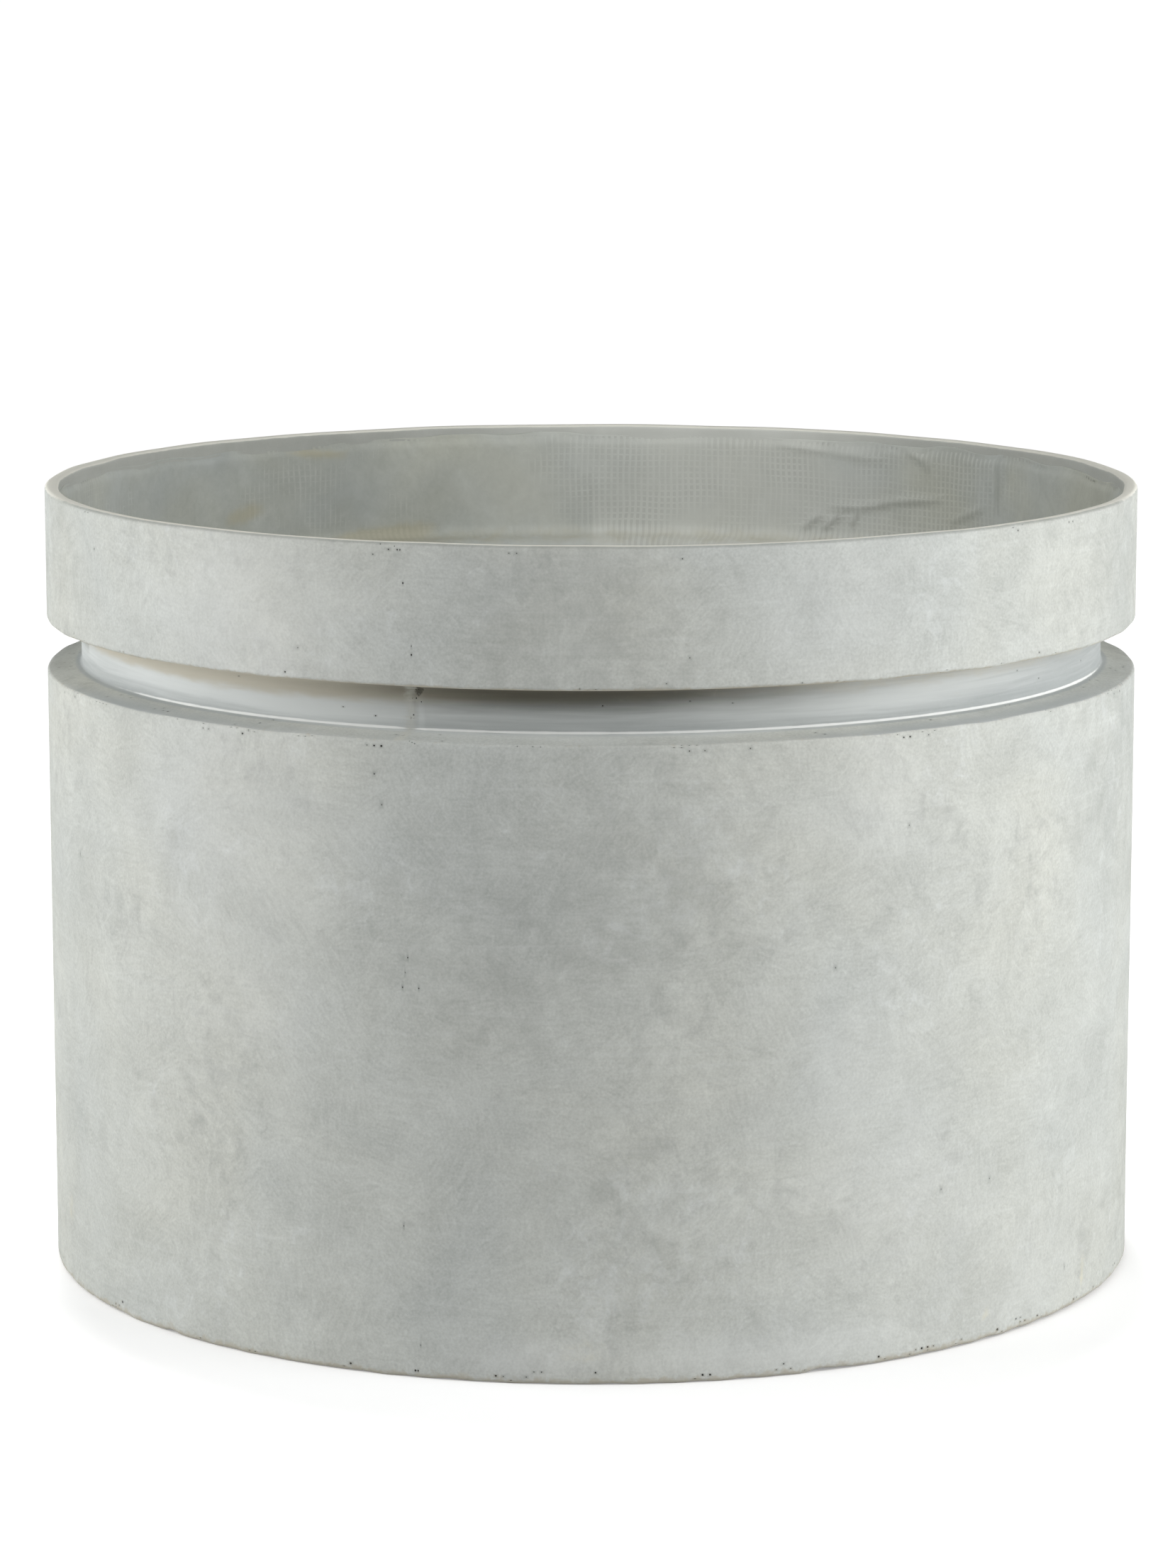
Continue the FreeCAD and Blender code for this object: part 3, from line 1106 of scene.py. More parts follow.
    def outline(self) -> np.ndarray:
        """Closed outline of the casting, with close points where the edges, the groove and the pits are."""
        s = self.sizes
        near = 15.0
        fine, plain, hidden = 3.2, 8.5, 30.0
        ring, ledge, neck, under_rim, rim, lip = 10.0, 3.5, 1.8, 4.0, 5.0, 2.5
        return trace([
            Corner(s.drain + s.drain_chamfer, s.ring_height, hidden),
            Corner(s.radius - s.ring_width, s.ring_height, hidden),
            Corner(s.radius - s.ring_width, 0, ring),
            Corner(s.radius, 0, fine, s.foot_round),
            Corner(s.radius, near, plain),
            Corner(s.radius, s.drum_top - near, fine),
            Corner(s.radius, s.drum_top, ledge, s.arris_round),
            Corner(s.neck, s.neck_bottom, neck, s.cove_round),
            Corner(s.neck, s.neck_top, under_rim, s.cove_round),
            Corner(s.radius, s.rim_bottom, fine, s.arris_round),
            Corner(s.radius, s.rim_bottom + near, rim),
            Corner(s.radius, s.height - near, fine),
            Corner(s.radius, s.height, fine, s.lip_round),
            Corner(s.inner, s.height, lip, s.lip_round),
            Corner(s.inner, s.height - near, hidden),
            *inner_bends(s, hidden),
            Corner(s.drain, s.floor, hidden),
            Corner(s.drain, s.ring_height + s.drain_chamfer, hidden),
        ])

    def azimuths(self) -> np.ndarray:
        """Azimuths of the columns in radians, with closer ones along both seams."""
        even = even_azimuths(self.columns)
        close = np.arange(-self.seam_columns, self.seam_columns + 1) * self.seam_width / self.sizes.radius
        seams = [math.degrees(d) + self.seam + half for half in (0, 180) for d in close]
        kept = [a for a in even if min(abs(a - s) for s in seams) > self.column_gap]
        return np.radians(np.array(sorted(kept + seams)))

    def from_seam(self, azimuth: np.ndarray) -> np.ndarray:
        """Distance from the nearer seam along the outer wall, in millimetres."""
        turn = np.radians(self.seam)
        return np.arcsin(np.clip(np.abs(np.sin(azimuth - turn)), 0, 1)) * self.sizes.radius

    def surface(self, line: np.ndarray, azimuth: np.ndarray) -> tuple[np.ndarray, np.ndarray]:
        """Radii and heights of the points, with what the hand and the mould left on them.

        Args:
            line: the outline.
            azimuth: azimuths of the columns.

        Returns:
            Radii and heights in millimetres, by outline point and column.
        """
        s = self.sizes
        r, z = line[:, :1], line[:, 1:]
        a = azimuth[np.newaxis, :]
        degrees = np.degrees(a)
        share = z / s.height
        level = share * 0
        out = smooth_step(s.neck - s.wall, s.neck, r) * (r > s.neck_inner + 1)
        wall = smooth_step(s.radius - 4, s.radius, r)
        slow = np.clip(self.round_waves.at(a, share), -1, 1)
        radius = r - out * self.out_of_round * (1.1 - slow) / 2
        height = z + np.zeros_like(a)

        # A ridge along both seams, here and there worn down.
        outer = (r > s.neck - 1) & (z > 0.5 * s.foot_round)
        seam = around(self.seam_width, self.from_seam(a)) * (0.4 + 0.3 * self.seam_waves.at(a * 0, share))
        radius = radius + outer * (self.seam_ridge * np.clip(seam, 0, 1) - 0.5 * self.seam_ridge * wall)

        # Edges and a lip that wander as they were struck off by hand.
        edge = around(self.edge_reach, z - s.drum_top) + around(self.edge_reach, z - s.rim_bottom)
        height = height + wall * edge * self.edge_wander * self.edge_waves.at(a, level) * self.wave_share
        lip = around(self.lip_reach, z - s.height) * (r > s.inner - 1)
        inner_lip = lip * smooth_step(s.radius - 1, s.inner, r)
        radius = radius - inner_lip * self.lip_wander * self.lip_waves.at(a, level) * self.wave_share
        dip = 0.5 + 0.5 * np.clip(self.brim_waves.at(a, level), -1, 1)
        height = height - lip * self.edge_wander * dip

        # Lumps of the patch that was filled in the groove beside the seam.
        in_groove = (np.abs(r - s.neck) < self.patch_depth) * (z > s.drum_top) * (z < s.rim_bottom)
        patch = around(self.patch_reach, degrees - self.seam - self.patch_shift) * in_groove
        radius = radius + patch * self.patch_lumps * (0.25 + 0.5 * self.patch_waves.at(a, share))

        # A foot that is worn at the right, chipped, and nowhere quite even.
        foot = around(self.foot_reach, z) * (r > s.radius - self.foot_depth)
        grows, full, fades, gone = self.foot_worn
        worn = smooth_step(grows, full, degrees) * smooth_step(gone, fades, degrees)
        uneven = self.foot_wander * (1 + self.foot_waves.at(a, level))
        height = height + foot * (self.foot_lift * worn + bells(self.chips, degrees) + uneven)
        return radius, np.clip(height, 0, s.height)

    def groove_looks(self, r: np.ndarray, z: np.ndarray, a: np.ndarray) -> dict[str, np.ndarray]:
        """Where the overlays of the groove lie.

        Args:
            r: radii of the outline's points, as a column.
            z: their heights, as a column.
            a: azimuths, as a row.

        Returns:
            Attributes, by outline point and column.
        """
        s = self.sizes
        aside = np.abs(a)
        front = 1 - smooth_step(10, 36, aside)
        right = smooth_step(2, 12, a)
        left = 0.45 + 0.55 * smooth_step(15, -25, a)
        in_groove = (r < s.radius - 1) & (r > s.neck - 1) & (z > s.drum_top) & (z < s.rim_bottom)
        neck = in_groove & (np.abs(r - s.neck) < 3)
        under_rim = in_groove & (z > s.neck_top) & (r > s.neck + 1)
        ledge = in_groove & (z < s.neck_bottom + 2) & (r > s.neck + 1.5)
        underside = (r < s.radius - s.ring_width + 1) & (z < s.floor)
        up = (z - s.neck_bottom) / (s.neck_top - s.neck_bottom)

        # The ledge is darkest along its outer edge. It is paler in front, at the far sides and left of the
        # seam, and that paleness is painted light.
        outer_ledge = smooth_step(s.neck + 3, s.radius - 3, r)
        ledge_wash_with_painted_light = 0.3 + 0.5 * outer_ledge * (1 - 0.45 * around(16, a + 32))
        ledge_wash_with_painted_light = ledge_wash_with_painted_light * (1 - 0.6 * front) * (1 - 0.7 * smooth_step(55, 80, aside))

        # A pale band runs along the neck. It climbs and gains strength aside, and is lost at the far sides;
        # what it gains aside is painted light from the side lamps.
        streak_height = 0.37 + 0.13 * right + 0.2 * smooth_step(20, 50, aside)
        gains = 0.4 * smooth_step(14, 34, aside) + 0.3 * around(18, a + 32)
        gains = gains + 0.2 * right * smooth_step(66, 48, a) + 0.12 * smooth_step(-12, -22, a)
        losses = 0.6 * smooth_step(28, 56, a) + 0.45 * smooth_step(50, 70, -a)
        pale_band_and_painted_light = around(0.42, up - streak_height) * (0.5 + gains - losses)

        # Above that band the neck is bare, most of all left of the seam, and under the rim it gets painted
        # shade: the rim's shadow in front, a patchy dark band behind.
        warm = around(20, a + 36)
        bare = smooth_step(0.5 - 0.2 * warm, 0.95 - 0.05 * warm, up) * left
        patchy = np.clip(0.5 + 0.6 * self.rim_shade_waves.at(np.radians(a), z * 0), 0, 1)
        grime = smooth_step(0.25, 1.0, up) * np.where(aside < 75, around(25, a + 3), 0.7 * patchy)

        # A near-white line runs along the lower corner. It is broken at the seam and fades at the far sides.
        from_patch = turn_from(self.seam - 1.0, a)
        bead = around(0.9, np.hypot(r - s.neck - 0.6, z - s.neck_bottom - 0.6))
        bead = bead * (1 - 0.45 * around(0.7, from_patch))
        bead = bead * (1 - 0.7 * smooth_step(46, 68, -a) - 0.7 * smooth_step(66, 84, a))
        knot = around(0.45, turn_from(self.seam, a)) * around(3.0, z - s.neck_top + 2)
        return {
            "groove": neck + ledge * ledge_wash_with_painted_light,
            # The inner ledge in front is made paler with painted light.
            "groove_streak": neck * pale_band_and_painted_light + ledge * 0.52 * front * (1 - outer_ledge),
            "bare": neck * bare + under_rim * 0.9 + underside,
            "grime": neck * grime,
            "bead": in_groove * bead,
            "patch": 0.6 * in_groove * around(0.9, from_patch),
            "crumb": in_groove * (0.27 * around(0.9, from_patch) + 0.8 * knot),
        }

    def lip_looks(self, r: np.ndarray, z: np.ndarray, a: np.ndarray) -> dict[str, np.ndarray]:
        """Where the overlays of the lip and of the inside above the lining lie.

        Args:
            r: radii of the outline's points, as a column.
            z: their heights, as a column.
            a: azimuths, as a row.

        Returns:
            Attributes, by outline point and column.
        """
        s = self.sizes
        aside = np.abs(a)
        top = smooth_step(s.height - 2.2, s.height - 0.3, z) * (r > s.inner - 1)
        # Painted shade on the outer rounding of the lip's top in front, and painted light that makes the pale
        # lip paler towards the far sides.
        painted_lip_shade = top * smooth_step(s.radius - 2.4, s.radius - 1.0, r) * smooth_step(85, 60, aside)
        inside = (np.abs(r - s.inner) < 1) & (z > s.height - 5 * s.mesh_margin)
        return {
            "lip": top * (0.85 + 0.15 * smooth_step(45, 85, aside)) * (1 - painted_lip_shade),
            "inside": inside + a * 0,
            "pale": inside * bells(self.lining.pales, a),
            "dim": inside * bells(self.lining.dims, a) + 0.75 * painted_lip_shade,
        }

    def wall_looks(self, r: np.ndarray, z: np.ndarray, a: np.ndarray) -> dict[str, np.ndarray]:
        """Where the overlays of the outer wall lie, and a mark for the painted shade in the pinholes, which
        starts at zero.

        Args:
            r: radii of the outline's points, as a column.
            z: their heights, as a column.
            a: azimuths, as a row.

        Returns:
            Attributes, by outline point and column.
        """
        s = self.sizes
        wall = r > s.radius - 3
        edges = around(1.6, z - s.drum_top) * 0.25 + around(1.6, z - s.rim_bottom) * 0.5 + around(4, z) * 0.75
        dabs = {"smear": self.smears, "thick_wash": self.thick_wash, "thin_wash": self.thin_wash}
        looks = {name: wall * sum(dab.at(a, z) for dab in group) for name, group in dabs.items()}
        return {"worn": wall * edges + a * 0, **looks, "pit": z * 0 + a * 0}

    def build(self) -> bpy.types.Object:
        """Build the casting and stand it for its node.

        Returns:
            The finished piece.
        """
        line, azimuth = self.outline(), self.azimuths()
        mesh = turned_mesh("cast_shell", *self.surface(line, azimuth), azimuth)
        spots = line[:, :1], line[:, 1:], np.degrees(azimuth)[np.newaxis, :]
        set_attributes(mesh, self.groove_looks(*spots) | self.lip_looks(*spots) | self.wall_looks(*spots))
        Pinholes(self.sizes, self.seam).sink(mesh, line, azimuth)
        mesh.materials.append(WASHED_CEMENT.material())
        return new_piece(mesh, Body.POT, ["pot_shell"])


@dataclass(frozen=True)
class Fold:
    """A fold, lap or stain on the lining, between two places on the wall.

    Attributes:
        start: azimuth in degrees and height in millimetres where it begins.
        stop: where it ends.
        width: half width in millimetres.
        rise: height in millimetres, or strength of a stain.
    """

    start: tuple[float, float]
    stop: tuple[float, float]
    width: float = 1.8
    rise: float = 0.9

    def at(self, azimuth: np.ndarray, height: np.ndarray, radius: float) -> np.ndarray:
        """Rise of the fold over the wall.

        Args:
            azimuth: degrees from the front.
            height: heights in millimetres.
            radius: radius of the wall in millimetres.

        Returns:
            The rise at each place.
        """
        across, up = np.radians(turn_from(self.start[0], azimuth)) * radius, height - self.start[1]
        run, climb = math.radians(self.stop[0] - self.start[0]) * radius, self.stop[1] - self.start[1]
        share = np.clip((across * run + up * climb) / (run * run + climb * climb), 0, 1)
        taper = np.sqrt(4 * share * (1 - share))
        return self.rise * taper * around(self.width, np.hypot(across - share * run, up - share * climb))


@dataclass
class WallLining:
    """Mesh and slurry on the inner wall, from just below the lip to its lap on the floor.

    Lengths are in millimetres.

    Attributes:
        sizes: sizes of the pot.
        columns: points round the pot.
        sag: unevenness of the slurry.
        slow_sag: long waves of that unevenness.
        fine_sag: short waves of it.
        skin: least thickness of the slurry.
        waver: how far the cut edge wavers.
        cut_waves: waves of that edge.
        droops: places where it hangs lower, with how far.
        droop_run: over what height the lining is drawn down with its edge.
        feather: how far the slurry thins towards that edge.
        feather_run: over what height it thins.
        slow_print: long waves of how clearly the mesh prints through.
        fine_print: short waves of it.
        prints: places where it prints through most.
        pales: places where the slurry is palest.
        dims: places where it is darkest.
        low_pale: how much paler the rim's foot is than its top, at the right.
        shelf_stain: strength of the stain along the ledge at the rim's foot.
        folds: folds and the lap of the mesh.
        stains: places where thin slurry has yellowed.
    """

    sizes: PotSizes
    columns: int = 780
    sag: float = 0.8
    slow_sag: Wander = Wander(21, (3, 22), 4)
    fine_sag: Wander = Wander(22, (20, 70), 14)
    skin: float = 0.1
    waver: float = 2.5
    cut_waves: Wander = Wander(23, (3, 40))
    droops: Bells = ((-140.0, 25.0, 3.0), (104.0, 14.0, 2.5), (20.0, 50.0, 3.5))
    droop_run: float = 14.0
    feather: float = 1.8
    feather_run: float = 9.0
    slow_print: Wander = Wander(24, (3, 14), 4)
    fine_print: Wander = Wander(25, (10, 40), 16)
    prints: Bells = ((136.0, 13.0, 1.0), (177.0, 9.0, 0.5), (-161.0, 6.0, 0.3), (-146.0, 9.0, -0.2),
                     (160.0, 6.0, 0.2), (-60.0, 30.0, 0.4))
    pales: Bells = ((160.0, 20.0, 0.8), (-174.0, 14.0, 0.3), (-104.0, 12.0, 0.3), (20.0, 50.0, 0.7))
    dims: Bells = ((-148.0, 18.0, 0.5), (-122.0, 14.0, 0.3))
    low_pale: float = 0.3
    shelf_stain: float = 0.45
    folds: tuple[Fold, ...] = (
        Fold((158.0, 465.0), (150.6, 459.4), width=2.4, rise=0.7),
        Fold((150.6, 458.8), (143.4, 456.5), width=2.4, rise=0.6),
        Fold((154.2, 406.8), (151.4, 418.7), width=2.2, rise=1.2),
        Fold((151.4, 407.7), (148.9, 419.5), width=2.2, rise=1.3),
        Fold((147.6, 411.0), (146.4, 423.0), width=2.2, rise=1.1),
        Fold((150.5, 422.4), (142.0, 427.0), width=2.2, rise=1.1),
        Fold((144.0, 428.2), (134.4, 434.0), width=2.2, rise=1.1),
        Fold((141.1, 470.6), (136.2, 453.3), width=3.2, rise=1.0),
        Fold((125.4, 472.0), (125.2, 430.0), width=2.5, rise=1.0),
        Fold((133.2, 419.9), (127.7, 431.9), width=2.4, rise=1.0),
        Fold((-35.0, 300.0), (-28.0, 240.0), width=2.5),
        Fold((60.0, 180.0), (75.0, 150.0), width=2.2),
    )
    stains: tuple[Fold, ...] = (
        Fold((-141.0, 465.0), (-150.3, 458.0), width=5.0),
        Fold((-131.8, 420.0), (-138.5, 427.0), width=6.0),
        Fold((-147.6, 399.0), (-161.7, 408.0), width=6.0),
    )

    def outline(self) -> np.ndarray:
        """Closed outline of the lining, coarse on the side that the casting hides."""
        s = self.sizes
        seen, shelf, neck, plain, hidden = 2.0, 4.0, 5.0, 12.0, 40.0
        face = s.inner - s.mesh
        neck_face = s.neck_inner - s.mesh
        cove, nose = s.inner_round - s.mesh, s.inner_round + s.mesh
        return trace([
            Corner(s.lining_foot, s.floor, hidden),
            *reversed(inner_bends(s, hidden)),
            Corner(s.inner, s.lining_top, hidden),
            Corner(face, s.lining_top, seen),
            Corner(face, s.rim_bottom + s.web + s.web_shift, shelf, cove),
            Corner(neck_face, s.neck_top + s.web + s.web_shift, neck, nose),
            Corner(neck_face, s.neck_bottom - s.web - s.web_shift, shelf, nose),
            Corner(face, s.drum_top - s.web - s.web_shift, plain, cove),
            Corner(face, s.floor + s.mesh, plain, s.floor_round - s.mesh),
            Corner(s.lining_foot, s.floor + s.mesh, hidden),
        ])

    def face_start(self, line: np.ndarray) -> int:
        """Number of the first outline point on the open face."""
        return nearest(line, self.sizes.inner - self.sizes.mesh, self.sizes.lining_top)

    def section(self, stand_off: float) -> np.ndarray:
        """Path of a strand down the open face.

        Args:
            stand_off: distance from the face in millimetres.

        Returns:
            One row for each point, with its radius and height in millimetres.
        """
        line = self.outline()
        return (line + outward(line) * stand_off)[self.face_start(line) + 1:-1]

    def build(self) -> bpy.types.Object:
        """Build the lining and stand it for its node.

        Returns:
            The finished piece.
        """
        s = self.sizes
        line = self.outline()
        degrees = even_azimuths(self.columns)[np.newaxis, :]
        azimuth = np.radians(degrees)
        r, z = line[:, :1], line[:, 1:]
        out = outward(line)
        share = z / s.height
        face = (np.arange(len(line)) >= self.face_start(line))[:, np.newaxis]
        on_wall = z > s.floor + s.floor_round
        free = face * np.where(on_wall, 1.0, smooth_step(s.disc_reach + 1, s.disc_reach + 8, r))

        # Slurry of uneven thickness over the folds, feathered out towards a cut edge that wavers.
        uneven = 0.5 + 0.3 * self.slow_sag.at(azimuth, share) + 0.2 * self.fine_sag.at(azimuth, share)
        folds = sum(fold.at(degrees, z, s.inner) for fold in self.folds) * on_wall
        lift = free * (self.sag * np.clip(uneven, 0, 1.2) + folds)
        lift = lift - face * self.feather * smooth_step(s.lining_top - self.feather_run, s.lining_top, z)
        lift = np.maximum(lift, self.skin - s.mesh)
        ragged = 0.5 + 0.5 * np.clip(self.cut_waves.at(azimuth, share * 0), -1, 1)
        droop = self.waver * ragged + bells(self.droops, degrees)
        drawn = droop * smooth_step(s.lining_top - self.droop_run, s.lining_top, z)
        mesh = turned_mesh("wall_lining", r + out[:, :1] * lift, z + out[:, 1:] * lift - drawn, azimuth[0])

        # Where the mesh prints through below that edge, and the tones of the slurry.
        show = 0.08 + 0.3 * self.slow_print.at(azimuth, share) + 0.2 * self.fine_print.at(azimuth, share)
        show = np.clip(show + bells(self.prints, degrees), 0, 1)
        below_edge = smooth_step(s.lining_top - 1, s.lining_top - 5, z)
        shelf = self.shelf_stain * around(6, z - s.rim_bottom - s.web)
        low_rim = smooth_step(s.lining_top - 8, s.rim_bottom, z) * (z > s.neck_top) * (degrees > 0)
        # Painted shade along the lower side of each fold.
        fold_shades = sum(fold.at(degrees, z + fold.width, s.inner) for fold in self.folds)
        set_attributes(mesh, {
            "show": free * show * below_edge,
            "stain": face * (shelf + sum(stain.at(degrees, z, s.inner) for stain in self.stains)),
            "pale": bells(self.pales, degrees) + self.low_pale * low_rim,
            "dim": bells(self.dims, degrees) + z * 0,
            "crease": face * np.clip(fold_shades, 0, 1) * on_wall,
        })
        mesh.materials.append(MESH_BED.material())
        return new_piece(mesh, Body.POT, ["wall_mesh_lining"])


@dataclass
class FloorLining:
    """Disc of mesh and slurry on the floor, lapped over the foot of the wall lining.

    Attributes:
        sizes: sizes of the pot.
        columns: points round the disc.
        sag: unevenness of the slurry in millimetres.
        slow_sag: long waves of that unevenness.
        fine_sag: short waves of it.
        print_waves: waves of how clearly the mesh prints through.
        stain_waves: waves of its stains.
        pale_waves: waves of its pale places.
        plug_reach: radius in millimetres that stays smooth for the plug's flange.
        plug_run: over what length the slurry gets uneven beyond it.
    """

    sizes: PotSizes
    columns: int = 360
    sag: float = 0.7
    slow_sag: Wander = Wander(31, (2, 12), 5)
    fine_sag: Wander = Wander(32, (12, 40), 12)
    print_waves: Wander = Wander(33, (2, 9), 5)
    stain_waves: Wander = Wander(34, (2, 8), 3)
    pale_waves: Wander = Wander(35, (1, 6), 3)
    plug_reach: float = 30.0
    plug_run: float = 15.0

    def outline(self) -> np.ndarray:
        """Closed outline of the disc, with its joggle over the lap."""
        s = self.sizes
        seen, joggle, hidden = 6.0, 2.5, 40.0
        low, top = s.floor, s.floor + s.mesh
        return trace([
            Corner(s.drain, low, hidden),
            Corner(s.lining_foot, low, hidden),
            Corner(s.lining_foot, top, hidden),
            Corner(s.disc_reach, top, hidden),
            Corner(s.disc_reach, top + s.mesh, seen),
            Corner(s.lining_foot, top + s.mesh, joggle),
            Corner(s.lining_foot - s.mesh_joggle, top, seen),
            Corner(s.drain, top, hidden),
        ])

    def build(self) -> bpy.types.Object:
        """Build the disc and stand it for its node.

        Returns:
            The finished piece.
        """
        s = self.sizes
        line = self.outline()
        azimuth = np.radians(even_azimuths(self.columns)[np.newaxis, :])
        r, z = line[:, :1], line[:, 1:]
        out = r / s.radius
        start = nearest(line, s.disc_reach, s.floor + 2 * s.mesh)
        top = (np.arange(len(line)) >= start)[:, np.newaxis]
        free = top * smooth_step(self.plug_reach, self.plug_reach + self.plug_run, r)
        uneven = 0.5 + 0.4 * self.slow_sag.at(azimuth, out) + 0.2 * self.fine_sag.at(azimuth, out)
        height = z + free * self.sag * np.clip(uneven, 0, 1.2)
        mesh = turned_mesh("floor_lining", r + azimuth * 0, height, azimuth[0])
        show = np.clip(0.35 + 0.4 * self.print_waves.at(azimuth, out), 0, 1)
        within_edge = smooth_step(s.disc_reach - 1, s.disc_reach - 6, r)
        none = np.zeros((r.size, self.columns))
        set_attributes(mesh, {
            "show": free * show * within_edge,
            "stain": free * np.clip(self.stain_waves.at(azimuth, out) - 0.6, 0, 0.8),
            "pale": np.clip(0.4 * self.pale_waves.at(azimuth, out), 0, 1),
            "crease": none,
            "dim": none,
        })
        mesh.materials.append(MESH_BED.material())
        return new_piece(mesh, Body.POT, ["floor_mesh_lining"])


def scrim_tree() -> bpy.types.GeometryNodeTree:
    """Node group that repeats a strand, presses it on a lining and keeps it where the mesh prints through.

    Returns:
        The group, with its inputs named.
    """
    tree = bpy.data.node_groups.new("scrim_print", "GeometryNodeTree")
    for name, kind in (
            ("Strand", "Geometry"), ("Lining", "Object"), ("Count", "Int"), ("Step", "Vector"),
            ("Turn", "Float"), ("Proud", "Float"), ("Sunk", "Float"), ("Reach", "Float"), ("Drift", "Float"),
            ("Drift Scale", "Float"), ("Least Print", "Float"), ("Material", "Material")):
        tree.interface.new_socket(name, in_out="INPUT", socket_type="NodeSocket" + kind)
    tree.interface.new_socket("Scrim", in_out="OUTPUT", socket_type="NodeSocketGeometry")
    given = add_node(tree, "NodeGroupInput").outputs

    # The strand, repeated in a row or round a ring, and led a little astray.
    spots = add_node(tree, "GeometryNodeMeshLine", {"Count": given["Count"], "Offset": given["Step"]})
    number = add_node(tree, "GeometryNodeInputIndex")
    turn = add_node(tree, "ShaderNodeMath", {0: number, 1: given["Turn"]}, operation="MULTIPLY")
    angles = add_node(tree, "ShaderNodeCombineXYZ", {"Z": turn})
    turned = add_node(tree, "FunctionNodeEulerToRotation", {"Euler": angles})
    laid = add_node(tree, "GeometryNodeInstanceOnPoints", {
        "Points": spots, "Instance": given["Strand"], "Rotation": turned})
    straight = add_node(tree, "GeometryNodeRealizeInstances", {"Geometry": laid})
    drift = add_node(tree, "ShaderNodeTexNoise", {
        "Scale": given["Drift Scale"], "Detail": 1.0}).outputs["Color"]
    stray = add_node(tree, "ShaderNodeVectorMath", {0: drift, 1: (0.5, 0.5, 0.5)}, operation="SUBTRACT")
    offset = add_node(tree, "ShaderNodeVectorMath", {0: stray, "Scale": given["Drift"]}, operation="SCALE")
    strands = add_node(tree, "GeometryNodeSetPosition", {"Geometry": straight, "Offset": offset})

    # What the lining says below each point.
    lining = add_node(tree, "GeometryNodeObjectInfo", {"Object": given["Lining"]}).outputs["Geometry"]
    near = add_node(tree, "GeometryNodeProximity", {"Target": lining}, target_element="FACES").outputs
    sampled = {}
    for name in ("show", "stain", "pale", "dim", "crease"):
        stored = add_node(tree, "GeometryNodeInputNamedAttribute", {"Name": name}, data_type="FLOAT")
        sampled[name] = add_node(tree, "GeometryNodeSampleNearestSurface", {
            "Mesh": lining, "Value": stored}, data_type="FLOAT")
    facing = add_node(tree, "GeometryNodeInputNormal")
    normal = add_node(tree, "GeometryNodeSampleNearestSurface", {
        "Mesh": lining, "Value": facing}, data_type="FLOAT_VECTOR")

    # Each point moves to the lining, its crest out of the slurry by as much as the mesh shows there.
    crest = add_node(tree, "GeometryNodeInputNamedAttribute", {"Name": "crest"}, data_type="FLOAT")
    sampled["rub"] = add_node(tree, "ShaderNodeMath", {0: crest, 1: sampled["show"]}, operation="MULTIPLY")
    raised = add_node(tree, "ShaderNodeMath", {0: sampled["rub"], 1: given["Proud"]}, operation="MULTIPLY")
    lift = add_node(tree, "ShaderNodeMath", {0: raised, 1: given["Sunk"]}, operation="SUBTRACT")
    shift = add_node(tree, "ShaderNodeVectorMath", {0: normal, "Scale": lift}, operation="SCALE")
    spot = add_node(tree, "ShaderNodeVectorMath", {0: near["Position"], 1: shift}, operation="ADD")

    # Faces where the mesh hardly shows, or that lie beyond the lining, are left out.
    faint = add_node(tree, "ShaderNodeMath", {
        0: sampled["show"], 1: given["Least Print"]}, operation="LESS_THAN")
    beyond = add_node(tree, "ShaderNodeMath", {
        0: near["Distance"], 1: given["Reach"]}, operation="GREATER_THAN")
    gone = add_node(tree, "ShaderNodeMath", {0: faint, 1: beyond}, operation="MAXIMUM")
    shape = add_node(tree, "GeometryNodeDeleteGeometry", {
        "Geometry": strands, "Selection": gone}, domain="FACE")
    for name, value in sampled.items():
        shape = add_node(tree, "GeometryNodeStoreNamedAttribute", {
            "Geometry": shape, "Name": name, "Value": value}, data_type="FLOAT", domain="POINT")
    shape = add_node(tree, "GeometryNodeSetPosition", {"Geometry": shape, "Position": spot})
    shape = add_node(tree, "GeometryNodeSetShadeSmooth", {"Geometry": shape})
    shape = add_node(tree, "GeometryNodeSetMaterial", {"Geometry": shape, "Material": given["Material"]})
    add_node(tree, "NodeGroupOutput", {"Scrim": shape})
    return tree


